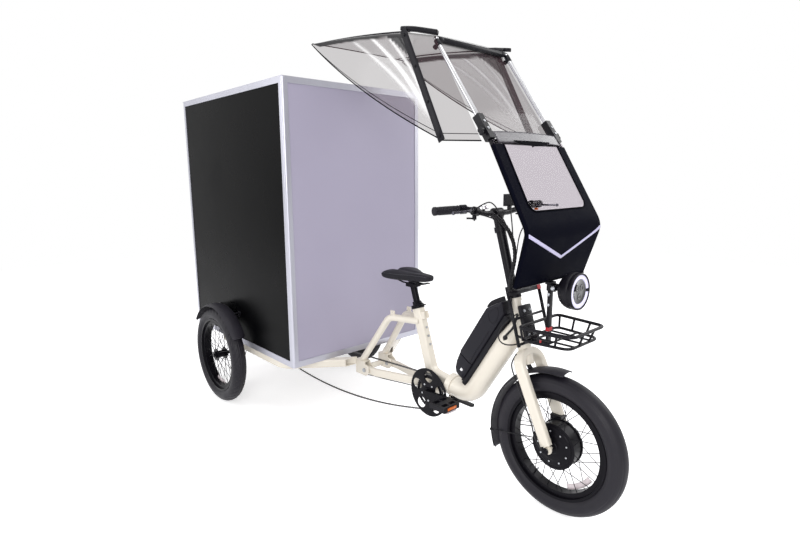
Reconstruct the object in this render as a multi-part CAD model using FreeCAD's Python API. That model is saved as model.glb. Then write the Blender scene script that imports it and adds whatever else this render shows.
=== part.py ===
import FreeCAD, Part
import math
import os

# Cargo tricycle: a rigid box behind the rider, a hub motor in front and a clear weather canopy.
# Millimetres. X points forward, Y to the rider's left, Z up, and the wheels stand on Z = 0.
# Pieces are drawn from the rear axle (X = 0) and moved to the middle of the length on export.

Vec = FreeCAD.Vector
axis_x = Vec(1, 0, 0)
axis_y = Vec(0, 1, 0)
axis_z = Vec(0, 0, 1)

# Clearances
running_gap = 0.05
moving_gap = 0.4
seat_gap = 0.2

# Wheels
wheelbase = 1885.0
wheel_side_gap = 27.5
wheel_radius = 272.0
tyre_width = 78.0
tyre_wall = 5.0
bead_radius = 203.0
rim_width = 60.0
rim_flange = 6.0
rim_wall = 3.0
rim_depth = 23.0
spoke_count = 36
spoke_radius = 1.3
rear_shaft_radius = 10.0
rear_hub_radius = 20.0
rear_flange_radius = 34.0
rear_flange_span = 44.0
rear_hub_length = 76.0
motor_radius = 85.0
motor_width = 62.0
front_axle_radius = 6.0
disc_radius = 82.0
disc_thickness = 2.0

# Head tube, fork and steering post
head_angle = 74.0
trail = 15.0
head_rise = 370.0
head_length = 196.0
head_radius = 23.0
steerer_radius = 14.3
post_radius = 19.0
post_length = 325.0
fork_spread = 132.0
fork_width = 28.0
fork_depth = 44.0
fork_length = 362.0
dropout_thickness = 6.0

# Handlebar and its controls
bar_radius = 11.0
bar_flat = 70.0
bar_grip_start = 205.0
bar_half_width = 330.0
bar_rise = 25.0
bar_forward = 15.0
bar_sweep = 40.0
grip_radius = 16.0
lever_length = 118.0
lever_reach = 52.0
cable_radius = 8.0
hose_radius = 5.0

# Frame tubes
main_tube_radius = 44.0
main_tube_wall = 3.0
main_bend_back = 423.0
main_bend_rise = 63.0
main_join_up = 92.4
main_taper = 96.0
main_tip_radius = 30.0
main_bend_radius = 100.0
seat_corner_back = 661.0
seat_corner_rise = 100.0
seat_angle = 72.0
seat_tube_length = 322.0
seat_tube_depth = 52.0
seat_tube_width = 44.0
seat_bend_radius = 60.0
coupling_back = 532.0
coupling_radius = 49.0
coupling_thickness = 14.0
shell_back = 635.0
shell_rise = 25.0
shell_radius = 24.0
shell_length = 68.0
spindle_radius = 12.0
stay_width = 20.0
stay_height = 38.0
tube_wall = 3.0
arm_radius = 17.0
arm_bend_ahead = 152.0
arm_bend_y = 56.0
tab_hole_radius = 4.0

# Rear frame and axle
pivot_back = 1052.0
pivot_rise = 28.0
pivot_y = 76.0
bracket_inside = 28.0
bracket_plate = 6.0
bracket_length = 66.0
pivot_bolt_radius = 7.0
rear_arm_width = 46.0
rear_arm_height = 40.0
rear_arm_inset = 29.0
rear_arm_reach = 273.0
rear_arm_end_x = -112.0
beam_x = -85.0
bearing_radius = 27.0
bearing_width = 34.0
drive_radius = 46.0
drive_length = 90.0
drive_shift = 17.0

# Drivetrain
ring_teeth = 40
sprocket_teeth = 14
chain_pitch = 12.7
chain_y = -46.0
chain_width = 8.0
chain_height = 7.0
chain_sag = 60.0
guard_radius = 113.0
jockey_radius = 20.0
jockey_low_x = 40.0
jockey_low_drop = 144.0
jockey_high_x = 22.0
jockey_high_drop = 67.0
crank_length = 165.0
crank_rise_angle = 5.0
crank_y = 62.0
crank_thickness = 14.0
pedal_pin_radius = 7.0
pedal_width = 95.0
pedal_length = 88.0
pedal_height = 24.0

# Saddle
seatpost_radius = 15.9
seatpost_depth = 190.0
saddle_length = 272.0
saddle_width = 206.0
saddle_rise = 566.0
saddle_depth = 46.0

# Battery on the main tube
battery_start = 52.0
battery_length = 392.0
battery_width = 92.0
battery_depth = 84.0
tray_depth = 13.0

# Cargo box
box_length = 1167.0
box_pivot_gap = 137.0
box_width = 854.0
chain_room = 3.1
box_height = 1371.0
box_rail = 30.0
rail_wall = 3.0
box_post_round = 11.0
panel_thickness = 4.0
panel_recess = 3.0
floor_thickness = 12.0
cap_thickness = 3.0
door_gap = 3.0
door_thickness = 20.0
door_skin = 5.0
door_border = 35.0
hinge_radius = 6.0
hinge_length = 90.0
hinge_leaf = 3.0
handle_reach = 38.0
handle_length = 120.0

# Fenders
fender_gap = 22.0
fender_thickness = 2.5
fender_width = 84.0

# Basket, headlight and their post
basket_length = 205.0
basket_rear_back = 102.0
basket_rear_width = 266.0
basket_front_width = 218.0
basket_top_rise = 463.0
basket_depth = 48.0
basket_wire = 5.0
basket_slats = 6
upright_width = 200.0
light_radius = 67.0
light_depth = 72.0
light_front_ahead = 63.0
light_rise = 601.0

# Fairing, windshield and canopy
fairing_low_back = 62.0
fairing_low_rise = 630.0
fairing_low_width = 446.0
fairing_bend_back = 2.0
fairing_bend_rise = 828.0
fairing_bend_width = 476.0
shield_top_back = 173.0
shield_top_rise = 1128.0
shield_top_width = 441.0
shield_thickness = 3.0
fairing_thickness = 3.0
shield_rail_radius = 9.0
window_border = 52.0
canopy_front_back = 448.0
canopy_front_rise = 1504.0
canopy_tube_radius = 8.0
canopy_band_back = 524.0
canopy_band_rise = 1532.0
canopy_band_width = 546.0
canopy_low_back = 350.0
canopy_low_rise = 1156.0
canopy_low_width = 576.0
canopy_rear_back = 1161.0
canopy_rear_rise = 1600.0
canopy_rear_width = 552.0
canopy_mid_back = 845.0
canopy_mid_rise = 1576.0
canopy_hem_back = 774.0
canopy_hem_rise = 1346.0
sheet_thickness = 2.5
band_width = 30.0
band_thickness = 4.0
bow_radius = 3.0

# Sizes that follow from the ones above
front_axle = Vec(wheelbase, 0, wheel_radius)
rear_axle = Vec(0, 0, wheel_radius)
main_bend_x = wheelbase - main_bend_back
main_bend_z = wheel_radius + main_bend_rise
seat_corner_x = wheelbase - seat_corner_back
seat_corner_z = wheel_radius + seat_corner_rise
coupling_x = wheelbase - coupling_back
shell_x = wheelbase - shell_back
shell_z = wheel_radius + shell_rise
pivot_x = wheelbase - pivot_back
pivot_z = wheel_radius + pivot_rise
rear_arm_corner_x = pivot_x - rear_arm_reach
box_front_x = pivot_x - box_pivot_gap
jockey_low_z = wheel_radius - jockey_low_drop
jockey_high_z = wheel_radius - jockey_high_drop
saddle_top = wheel_radius + saddle_rise
basket_top_z = wheel_radius + basket_top_rise
light_z = wheel_radius + light_rise
fairing_low_z = wheel_radius + fairing_low_rise
fairing_bend_z = wheel_radius + fairing_bend_rise
shield_top_z = wheel_radius + shield_top_rise
canopy_front_z = wheel_radius + canopy_front_rise
canopy_band_z = wheel_radius + canopy_band_rise
canopy_low_z = wheel_radius + canopy_low_rise
canopy_rear_z = wheel_radius + canopy_rear_rise
canopy_mid_z = wheel_radius + canopy_mid_rise
canopy_hem_z = wheel_radius + canopy_hem_rise
head_low = wheel_radius + head_rise
basket_rear_x = wheelbase - basket_rear_back
light_front_x = wheelbase + light_front_ahead
fairing_low_x = wheelbase - fairing_low_back
fairing_bend_x = wheelbase - fairing_bend_back
shield_top_x = wheelbase - shield_top_back
canopy_front_x = wheelbase - canopy_front_back
canopy_band_x = wheelbase - canopy_band_back
canopy_low_x = wheelbase - canopy_low_back
canopy_rear_x = wheelbase - canopy_rear_back
canopy_mid_x = wheelbase - canopy_mid_back
canopy_hem_x = wheelbase - canopy_hem_back
post_bar_x = fairing_low_x + 4.0
rim_inner_radius = bead_radius - rim_depth
bead_half = rim_width / 2 - rim_wall
head_up = Vec(-math.cos(math.radians(head_angle)), 0, math.sin(math.radians(head_angle)))
head_foot = Vec(wheelbase + trail, 0, 0)
head_forward = Vec(head_up.z, 0, -head_up.x)
seat_up = Vec(-math.cos(math.radians(seat_angle)), 0, math.sin(math.radians(seat_angle)))
seat_corner = Vec(seat_corner_x, 0, seat_corner_z)
seat_top = seat_corner + seat_up * seat_tube_length
main_bend = Vec(main_bend_x, 0, main_bend_z)
run_forward = (main_bend - seat_corner).normalize()
coupling = seat_corner + run_forward * ((coupling_x - seat_corner_x) / run_forward.x)
shell = Vec(shell_x, 0, shell_z)
ring_radius = ring_teeth * chain_pitch / (2 * math.pi)
sprocket_radius = sprocket_teeth * chain_pitch / (2 * math.pi)
chain_rear_z = wheel_radius + sprocket_radius + moving_gap + chain_height
chain_front_z = shell_z + ring_radius + moving_gap + chain_height
box_floor_z = chain_rear_z + (chain_front_z - chain_rear_z) * box_front_x / shell_x + chain_room
box_rear_x = box_front_x - box_length
box_half = box_width / 2
rear_arm_y = box_half - rear_arm_inset
low_collar_radius = head_radius + 5.5
wheel_y = box_half + wheel_side_gap + tyre_width / 2
box_top_z = box_floor_z + box_height
handle_end_x = box_rear_x - handle_reach
centre_x = (handle_end_x + wheelbase + wheel_radius) / 2
rear_arm_z = box_floor_z - rear_arm_height / 2


def head_point(height, forward=0.0, side=0.0):
    # A point by its distance up the steering axis from the ground, ahead of it and to the left.
    return head_foot + head_up * height + head_forward * forward + axis_y * side


main_join = head_point(head_low + main_join_up)
main_up = (main_join - main_bend).normalize()
main_out = Vec(-main_up.z, 0, main_up.x)
bar_height = head_low + head_length + post_length + 16.0
bar_centre = head_point(bar_height)


# Shape helpers

def rod(start, end, radius):
    return Part.makeCylinder(radius, (end - start).Length, start, end - start)


def pipe(start, end, outer, inner):
    return rod(start, end, outer).cut(rod(start, end, inner))


def block(x0, x1, y0, y1, z0, z1):
    return Part.makeBox(x1 - x0, y1 - y0, z1 - z0, Vec(x0, y0, z0))


def prism(points, direction):
    # A flat outline pushed along a direction.
    wire = Part.makePolygon(points + [points[0]])
    solid = Part.Face(wire).extrude(direction)
    if solid.Volume < 0:
        solid.reverse()
    return solid


def mirrored(shape):
    return shape.mirror(Vec(0, 0, 0), axis_y)


def pair(shape):
    return Part.makeCompound([shape, mirrored(shape)])


def fused(shapes):
    return shapes[0].multiFuse(shapes[1:]).removeSplitter()


def rounded_path(points, radius):
    # Straight runs joined by tangent arcs of one radius.
    edges = []
    start = points[0]
    for before, corner, after in zip(points, points[1:], points[2:]):
        back = (before - corner).normalize()
        ahead = (after - corner).normalize()
        half = back.getAngle(ahead) / 2
        trim = radius / math.tan(half)
        entry = corner + back * trim
        leave = corner + ahead * trim
        middle = corner + (back + ahead).normalize() * (radius / math.sin(half) - radius)
        edges.append(Part.LineSegment(start, entry).toShape())
        edges.append(Part.Arc(entry, middle, leave).toShape())
        start = leave
    edges.append(Part.LineSegment(start, points[-1]).toShape())
    return Part.Wire(edges)


def bent_rod(points, bend_radius, radius):
    path = rounded_path(points, bend_radius)
    circle = Part.Circle(points[0], points[1] - points[0], radius)
    return path.makePipeShell([Part.Wire(circle.toShape())], True, False)


def rounded_rectangle(centre, across, along, width, length, radius):
    # A rectangle with round corners, width across and length along.
    a = across * (width / 2)
    b = along * (length / 2)
    ra = across * radius
    rb = along * radius
    reach = radius * (1 - math.sqrt(0.5))
    corners = []
    for sa, sb in ((1, 1), (-1, 1), (-1, -1), (1, -1)):
        corners.append((sa, sb))
    edges = []
    ends = []
    for sa, sb in corners:
        tip = centre + a * sa + b * sb
        on_side = tip - rb * sb
        on_end = tip - ra * sa
        bulge = tip - (across * sa + along * sb) * reach
        first, last = (on_side, on_end) if sa * sb > 0 else (on_end, on_side)
        edges.append(Part.Arc(first, bulge, last).toShape())
        ends.append((first, last))
    for here, following in zip(ends, ends[1:] + ends[:1]):
        edges.append(Part.LineSegment(here[1], following[0]).toShape())
    return Part.Wire(Part.__sortEdges__(edges))


def bent_bar(points, bend_radius, across, width, height, corner):
    # A rounded rectangular bar along a bent path; width lies along the across direction.
    path = rounded_path(points, bend_radius)
    ahead = (points[1] - points[0]).normalize()
    along = ahead.cross(across).normalize()
    profile = rounded_rectangle(points[0], across, along, width, height, corner)
    return path.makePipeShell([profile], True, False)


def turned(outline, centre):
    # An outline of (Y, radius) points turned about the Y axis through a centre.
    points = [Vec(0, y, r) for y, r in outline]
    wire = Part.makePolygon(points + [points[0]])
    solid = Part.Face(wire).revolve(Vec(0, 0, 0), axis_y, 360)
    solid.translate(centre)
    return solid


def on_circle(centre, radius, degrees, y=0.0):
    # A point of a circle in the side view; 0 degrees points forward and 90 up.
    a = math.radians(degrees)
    return Vec(centre.x + radius * math.cos(a), y, centre.z + radius * math.sin(a))


def arc_band(centre, inner, outer, start, end, y0, y1):
    # A curved plate about a Y axis between two angles.
    middle = (start + end) / 2
    edges = [
        Part.Arc(on_circle(centre, inner, start, y0), on_circle(centre, inner, middle, y0),
                 on_circle(centre, inner, end, y0)).toShape(),
        Part.LineSegment(on_circle(centre, inner, end, y0), on_circle(centre, outer, end, y0)).toShape(),
        Part.Arc(on_circle(centre, outer, end, y0), on_circle(centre, outer, middle, y0),
                 on_circle(centre, outer, start, y0)).toShape(),
        Part.LineSegment(on_circle(centre, outer, start, y0), on_circle(centre, inner, start, y0)).toShape(),
    ]
    return Part.Face(Part.Wire(edges)).extrude(Vec(0, y1 - y0, 0))


# Wheels

def tyre(centre):
    half = tyre_width / 2
    shoulder = (wheel_radius + bead_radius) / 2
    bulge = (half + bead_half) / 2 + 4.0
    low = (shoulder + bead_radius + rim_flange) / 2

    def wall(inset):
        # The crown and the two side walls, moved in from the outer skin.
        left = Vec(0, -half + inset, shoulder)
        right = Vec(0, half - inset, shoulder)
        left_bead = Vec(0, -bead_half + inset, bead_radius)
        right_bead = Vec(0, bead_half - inset, bead_radius)
        rise = axis_z * (rim_flange + seat_gap)
        return [
            Part.LineSegment(left_bead, left_bead + rise).toShape(),
            Part.Arc(left_bead + rise, Vec(0, -bulge + inset, low), left).toShape(),
            Part.Arc(left, Vec(0, 0, wheel_radius - inset), right).toShape(),
            Part.Arc(right, Vec(0, bulge - inset, low), right_bead + rise).toShape(),
            Part.LineSegment(right_bead + rise, right_bead).toShape(),
        ]

    outer = wall(0.0)
    inner = wall(tyre_wall)
    feet = []
    for side in (-1, 1):
        outside = Vec(0, side * bead_half, bead_radius)
        inside = Vec(0, side * (bead_half - tyre_wall), bead_radius)
        feet.append(Part.LineSegment(outside, inside).toShape())
    wire = Part.Wire(Part.__sortEdges__(outer + inner + feet))
    solid = Part.Face(wire).revolve(Vec(0, 0, 0), axis_y, 360)
    solid.translate(centre)
    return solid


def rim(centre):
    half = rim_width / 2
    well = half * 0.55
    shelf = half * 0.66
    flange = bead_radius + rim_flange
    skin = rim_wall + 1.0
    outline = [
        (-half, flange), (-bead_half, flange), (-bead_half, bead_radius), (-shelf, bead_radius),
        (-well, rim_inner_radius + skin), (well, rim_inner_radius + skin), (shelf, bead_radius),
        (bead_half, bead_radius), (bead_half, flange), (half, flange),
        (half, bead_radius - skin), (shelf, bead_radius - skin - 2.0), (well + 3.0, rim_inner_radius),
        (-well - 3.0, rim_inner_radius), (-shelf, bead_radius - skin - 2.0), (-half, bead_radius - skin),
    ]
    return turned(outline, centre)


def spokes(centre, flange_radius, flange_y, neighbours):
    # Crossed spokes; their ends are trimmed by the rim and the hub they run into.
    rods = []
    step = 360.0 / spoke_count
    for k in range(spoke_count):
        side = 1 if k % 2 else -1
        lean = 1 if (k // 2) % 2 else -1
        outer = on_circle(centre, rim_inner_radius + 2.0, k * step, centre.y + side * 4.0)
        inner = on_circle(centre, flange_radius - 3.0, k * step + lean * step * 2.0, centre.y + side * flange_y)
        rods.append(rod(inner, outer, spoke_radius))
    return Part.makeCompound(rods).cut(Part.makeCompound(neighbours)).Solids


def rear_hub(centre, side):
    # Hub, flanges and half shaft in one turned piece; side is 1 on the left.
    half = rear_hub_length / 2
    span = rear_flange_span / 2
    plate = 5.0
    inner_end = side * drive_shift + drive_length / 2 - wheel_y - 20.0
    outline = [
        (inner_end, 0), (inner_end, rear_shaft_radius), (-half, rear_shaft_radius), (-half, rear_hub_radius),
        (-span - plate, rear_hub_radius), (-span - plate, rear_flange_radius), (-span, rear_flange_radius),
        (-span, rear_hub_radius), (span, rear_hub_radius), (span, rear_flange_radius),
        (span + plate, rear_flange_radius), (span + plate, rear_hub_radius), (half, rear_hub_radius),
        (half, rear_shaft_radius), (half + 6.0, rear_shaft_radius), (half + 6.0, 0),
    ]
    return turned([(side * y, r) for y, r in outline], centre)


def rear_wheel(side):
    centre = rear_axle + axis_y * (side * wheel_y)
    ring = rim(centre)
    hub = rear_hub(centre, side)
    wires = spokes(centre, rear_flange_radius, rear_flange_span / 2 + 2.5, [ring, hub])
    return tyre(centre), Part.makeCompound([ring, hub] + wires)


def hub_motor():
    half = motor_width / 2
    flange = 6.0
    collar = half + 12.0
    bore = front_axle_radius + running_gap
    outline = [
        (-collar, bore), (-collar, 22.0), (-half - 6.0, 30.0), (-half, motor_radius - 10.0),
        (-half, motor_radius + 4.0), (-half + flange, motor_radius + 4.0), (-half + flange, motor_radius),
        (half - flange, motor_radius), (half - flange, motor_radius + 4.0), (half, motor_radius + 4.0),
        (half, motor_radius - 10.0), (half + 6.0, 30.0), (collar, 22.0), (collar, bore),
    ]
    return turned(outline, front_axle)


def front_disc():
    # Wavy brake disc on the motor's left cover.
    face = motor_width / 2 + 12.0
    plate = pipe(front_axle + axis_y * face, front_axle + axis_y * (face + disc_thickness), disc_radius, 14.0)
    notches = []
    for k in range(12):
        at = on_circle(front_axle, disc_radius + 7.0, k * 30.0, face - 1.0)
        notches.append(Part.makeCylinder(11.0, disc_thickness + 2.0, at, axis_y))
        hole = on_circle(front_axle, disc_radius - 34.0, k * 30.0 + 15.0, face - 1.0)
        notches.append(Part.makeCylinder(9.0, disc_thickness + 2.0, hole, axis_y))
    return plate.cut(Part.makeCompound(notches))


# Steering

def fork():
    # One bent blade over the wheel, a crown boss with the steerer, two dropouts and the axle.
    half = fork_spread / 2
    crown = head_point(head_low - 52.0, 10.0)
    down = (front_axle - crown).normalize()
    low = front_axle - down * 16.0
    high = front_axle - down * fork_length
    points = [low - axis_y * half, high - axis_y * half, high + axis_y * half, low + axis_y * half]
    blade = bent_bar(points, 54.0, axis_y, fork_width, fork_depth, 9.0)
    boss = rod(head_point(head_low - 66.0), head_point(head_low - moving_gap), head_radius + 3.0)
    steerer = rod(head_point(head_low - 60.0), head_point(head_low + head_length + 42.0), steerer_radius)
    body = fused([blade, boss, steerer])
    plate_y = half - dropout_thickness / 2
    plates = []
    for y in (-half - dropout_thickness / 2, plate_y):
        eye = Part.makeCylinder(17.0, dropout_thickness, Vec(front_axle.x, y, front_axle.z), axis_y)
        root = front_axle - down * 30.0 + axis_y * y
        tongue = rod(root, root + axis_y * dropout_thickness, 15.0)
        plates += [eye, tongue]
    body = fused([body] + plates)
    reach = half + dropout_thickness / 2 + 14.0
    axle = rod(front_axle - axis_y * reach, front_axle + axis_y * reach, front_axle_radius)
    body = body.cut(axle)
    nuts = []
    for y in (-reach + 2.0, reach - 12.0):
        start = front_axle + axis_y * y
        nuts.append(pipe(start, start + axis_y * 10.0, 11.0, front_axle_radius))
    nuts[0].translate(axis_y * 2.0)
    nuts[1].translate(axis_y * -2.0)
    return Part.makeCompound([body, axle] + nuts)


def steering_post():
    base = head_low + head_length + seat_gap
    top = base + post_length
    tube = rod(head_point(base), head_point(top), post_radius)
    collars = [
        rod(head_point(base), head_point(base + 46.0), low_collar_radius),
        rod(head_point(top - 62.0), head_point(top - 40.0), post_radius + 5.0),
        rod(head_point(top - 8.0), head_point(top), post_radius + 3.0),
    ]
    grip = 24.0
    clamp = rod(bar_centre - axis_y * grip, bar_centre + axis_y * grip, bar_radius + 9.0)
    body = fused([tube] + collars + [clamp])
    socket = rod(head_point(base - 1.0), head_point(base + 42.0), steerer_radius)
    return body.cut(socket).cut(rod(bar_centre - axis_y * 60.0, bar_centre + axis_y * 60.0, bar_radius))


def bar_points(side):
    # The handlebar's corners on one side, from the middle out.
    flat = bar_centre + axis_y * (side * bar_flat)
    grip = bar_centre + Vec(bar_forward, side * bar_grip_start, bar_rise)
    end = bar_centre + Vec(bar_forward - bar_sweep, side * bar_half_width, bar_rise - 4.0)
    return flat, grip, end


def handlebar():
    left = bar_points(1)
    right = bar_points(-1)
    return bent_rod([right[2], right[1], right[0], left[0], left[1], left[2]], 45.0, bar_radius)


def bar_place(side, share):
    # A point on the straight grip run, from its inner corner (0) to the bar's end (1).
    flat, grip, end = bar_points(side)
    return grip + (end - grip) * share


def grips():
    pieces = []
    for side in (-1, 1):
        along = (bar_place(side, 1.0) - bar_place(side, 0.0)).normalize()
        sleeve = pipe(bar_place(side, 0.26), bar_place(side, 1.0), grip_radius, bar_radius)
        cap = rod(bar_place(side, 1.0), bar_place(side, 1.0) + along * 5.0, grip_radius)
        pieces.append(fused([sleeve, cap]))
    return Part.makeCompound(pieces)


def lever_pivot(side):
    return bar_place(side, 0.03) + Vec(32.0, side * 2.0, 0)


def brake_lever(side):
    # A blade with a ball end that swings back towards the grip.
    pivot = lever_pivot(side)
    knee = pivot + Vec(lever_reach * 0.45, side * lever_length * 0.3, -2.0)
    tip = pivot + Vec(lever_reach * 0.35, side * lever_length, -6.0)
    boss = Part.makeCylinder(6.0, 10.0, pivot - axis_z * 5.0, axis_z)
    blade = bent_rod([pivot, knee, tip], 22.0, 4.2)
    ball = Part.makeSphere(6.5, tip)
    hole = Part.makeCylinder(3.0 + running_gap, 14.0, pivot - axis_z * 7.0, axis_z)
    return fused([boss, blade, ball]).cut(hole)


def control_pod(side):
    # Clamp ring, lever perch with its two cheeks and pivot pin, on one side of the bar.
    along = (bar_place(side, 1.0) - bar_place(side, 0.0)).normalize()
    ring_start = bar_place(side, 0.02)
    ring = pipe(ring_start, ring_start + along * 22.0, bar_radius + 6.0, bar_radius)
    pivot = lever_pivot(side)
    cheeks = []
    for z in (-9.0 - seat_gap, 5.0 + moving_gap):
        base = pivot + axis_z * z
        cheek = block(pivot.x - 22.0, pivot.x + 8.0, pivot.y - 8.0, pivot.y + 8.0, base.z, base.z + 3.6)
        cheeks.append(cheek)
    back = block(pivot.x - 22.0, pivot.x - 9.0, pivot.y - 8.0, pivot.y + 8.0, pivot.z - 9.2, pivot.z + 9.0)
    body = fused([ring, back] + cheeks)
    grip_start = bar_place(side, 0.0) - along * 10.0
    body = body.cut(rod(grip_start, grip_start + along * 60.0, bar_radius))
    pin = Part.makeCylinder(3.0, 18.2, pivot - axis_z * 9.2, axis_z)
    return body.cut(pin).fuse(pin).removeSplitter()


def pod_place(side, share):
    # A point on the rising run between the flat middle and the grip.
    flat, grip, end = bar_points(side)
    return flat + (grip - flat) * share


def side_unit(side, share, width, radius):
    # A housing clamped round the rising run of the bar.
    flat, grip, end = bar_points(side)
    along = (grip - flat).normalize()
    start = pod_place(side, share)
    return pipe(start, start + along * width, radius, bar_radius)


shift_hub = pod_place(-1, 0.55) + Vec(-4.0, 0, -27.0)
throttle_hub = pod_place(1, 0.60) + Vec(-4.0, 0, -27.0)


def control_housings():
    bar = handlebar()
    pods = [control_pod(-1).cut(bar), control_pod(1).cut(bar)]
    shifter = side_unit(-1, 0.45, 26.0, 17.0)
    throttle = side_unit(1, 0.50, 26.0, 17.0)
    stems = []
    for hub, ring in ((shift_hub, shifter), (throttle_hub, throttle)):
        stem = Part.makeCylinder(8.0, 18.0, hub + axis_z * 4.0, axis_z)
        pin = Part.makeCylinder(3.0, 13.0, hub - axis_z * 9.0, axis_z)
        stems.append(fused([ring, stem, pin]))
    stems = [stem.cut(bar) for stem in stems]
    screen_foot = pod_place(1, 0.08) + axis_z * (bar_radius - 1.0)
    screen = block(screen_foot.x - 8.0, screen_foot.x + 4.0, screen_foot.y - 34.0, screen_foot.y + 34.0,
                   screen_foot.z + 12.0, screen_foot.z + 60.0)
    screen_stem = block(screen_foot.x - 6.0, screen_foot.x + 2.0, screen_foot.y - 10.0, screen_foot.y + 10.0,
                        screen_foot.z - 12.0, screen_foot.z + 12.0)
    display = fused([screen, screen_stem]).cut(bar)
    bell_foot = pod_place(-1, 0.12)
    dome = Part.makeSphere(17.0, bell_foot + axis_z * (bar_radius + 6.0), axis_z, 0, 90)
    neck = Part.makeCylinder(5.0, 10.0, bell_foot + axis_z * (bar_radius - 4.0), axis_z)
    bell = fused([dome, neck]).cut(bar)
    return Part.makeCompound(pods + stems + [display, bell])


def thumb_lever(hub, side):
    # A short paddle that turns about an upright pin under its housing.
    low = hub - axis_z * (4.0 + moving_gap)
    boss = Part.makeCylinder(8.0, 8.0, low, axis_z)
    reach = Vec(-28.0, side * 10.0, 0)
    across = Vec(-reach.y, reach.x, 0).normalize()
    outline = [across * 5.0, reach * 0.7 + across * 3.5, reach * 0.75 + across * 7.0, reach + across * 5.0,
               reach - across * 5.0, reach * 0.75 - across * 7.0, reach * 0.7 - across * 3.5, across * -5.0]
    paddle = prism([low + axis_z * 1.0 + p for p in outline], axis_z * 6.0)
    hole = Part.makeCylinder(3.0 + running_gap, 20.0, hub - axis_z * 12.0, axis_z)
    return fused([boss, paddle]).cut(hole)


def front_fender():
    inner = wheel_radius + fender_gap
    half = fender_width / 2
    skin = arc_band(front_axle, inner, inner + fender_thickness, 84.0, 202.0, -half, half)
    lips = []
    for y in (-half, half - fender_thickness):
        lips.append(arc_band(front_axle, inner - 9.0, inner, 84.0, 202.0, y, y + fender_thickness))
    shell_piece = fused([skin] + lips)
    crown = head_point(head_low - 66.0)
    seat = on_circle(front_axle, inner + fender_thickness, 116.0)
    bracket = rod(seat - (crown - seat).normalize() * 1.0, crown, 9.0)
    stays = []
    for side in (-1, 1):
        foot = Vec(front_axle.x - 12.0, side * (fork_spread / 2 - 2.0), front_axle.z + 34.0)
        grip = on_circle(front_axle, inner + 1.0, 186.0, side * (half - 1.0))
        stays.append(rod(foot, grip, 2.2))
    return shell_piece, bracket, stays


def front_fender_set(blade):
    shell_piece, bracket, stays = front_fender()
    bracket = bracket.cut(blade).cut(shell_piece)
    keep = max(bracket.Solids, key=lambda s: s.Volume)
    trimmed = []
    for stay in stays:
        cut = stay.cut(blade).cut(shell_piece)
        trimmed.append(max(cut.Solids, key=lambda s: s.Volume))
    return Part.makeCompound([shell_piece, keep] + trimmed)


def brake_caliper(blade):
    # Caliper body straddling the disc, bolted to the left blade.
    face = motor_width / 2 + 12.0
    at = on_circle(front_axle, disc_radius - 10.0, 118.0)
    rim_z = front_axle.z + disc_radius + 1.5
    body = block(at.x - 24.0, at.x + 24.0, face - 6.0, face + disc_thickness + 22.0, at.z - 18.0, rim_z + 8.0)
    slot = block(at.x - 40.0, at.x + 40.0, face - 1.0, face + disc_thickness + 1.0, at.z - 40.0, rim_z)
    body = body.cut(slot).cut(blade)
    return max(body.Solids, key=lambda s: s.Volume)


def steering_cables():
    # The wrapped bundle from the bar down beside the post, resting on the post's low collar.
    rest = (low_collar_radius + cable_radius + seat_gap) * math.sqrt(0.5)
    points = [
        bar_centre + Vec(bar_radius + cable_radius + seat_gap, -58.0, 0),
        bar_centre + Vec(bar_radius + cable_radius + 22.0, -44.0, -22.0),
        head_point(bar_height - 110.0, 46.0, -32.0),
        head_point(bar_height - 220.0, 30.0, -26.0),
        head_point(bar_height - 300.0, rest, -rest),
        head_point(bar_height - 396.0, rest, -rest),
    ]
    return bent_rod(points, 20.0, cable_radius)


def frame_cables():
    # From the foot of the bundle, down beside the head tube and along the main tube's right side.
    side = -main_tube_radius - hose_radius - seat_gap
    points = [
        head_point(bar_height - 404.0, 25.0, -33.0),
        head_point(bar_height - 440.0, 12.0, side),
        main_join - main_up * 110.0 + axis_y * side,
        main_bend + main_up * 110.0 + axis_y * side,
        coupling + run_forward * 62.0 + axis_y * side,
    ]
    return bent_rod(points, 24.0, hose_radius)


# Frame

def head_tube():
    top = head_low + head_length
    tube = rod(head_point(head_low), head_point(top), head_radius)
    cups = [
        rod(head_point(head_low), head_point(head_low + 14.0), head_radius + 4.0),
        rod(head_point(top - 14.0), head_point(top), head_radius + 4.0),
    ]
    pad = rod(head_point(head_low + 92.0), head_point(head_low + 92.0, head_radius + 7.0), 20.0)
    body = fused([tube, pad] + cups)
    return body.cut(rod(head_point(head_low - 2.0), head_point(top + 2.0), steerer_radius + running_gap))


def main_tube(head):
    # Bent tube from the coupling, drawn in to a cone where it meets the head tube.
    start = coupling + run_forward * seat_gap
    neck = main_join - main_up * main_taper
    wall = main_tube_wall
    outer = bent_rod([start, main_bend, neck], main_bend_radius, main_tube_radius)
    inner = bent_rod([start, main_bend, neck], main_bend_radius, main_tube_radius - wall)
    cone = Part.makeCone(main_tube_radius, main_tip_radius, main_taper, neck, main_up)
    hollow = Part.makeCone(main_tube_radius - wall, main_tip_radius - wall, main_taper, neck, main_up)
    collar = pipe(start, start + run_forward * coupling_thickness, coupling_radius, main_tube_radius - wall)
    head_space = rod(head_point(head_low), head_point(head_low + head_length), head_radius)
    ahead = 200.0
    low = head_point(head_low - ahead, 0.0, -ahead)
    front = prism([low, low + head_forward * ahead, low + head_forward * ahead + head_up * 700.0, low + head_up * 700.0],
                  axis_y * (2 * ahead))
    body = fused([outer.cut(inner), cone.cut(hollow), collar]).cut(head).cut(head_space).cut(front)
    return max(body.Solids, key=lambda s: s.Volume)


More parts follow.
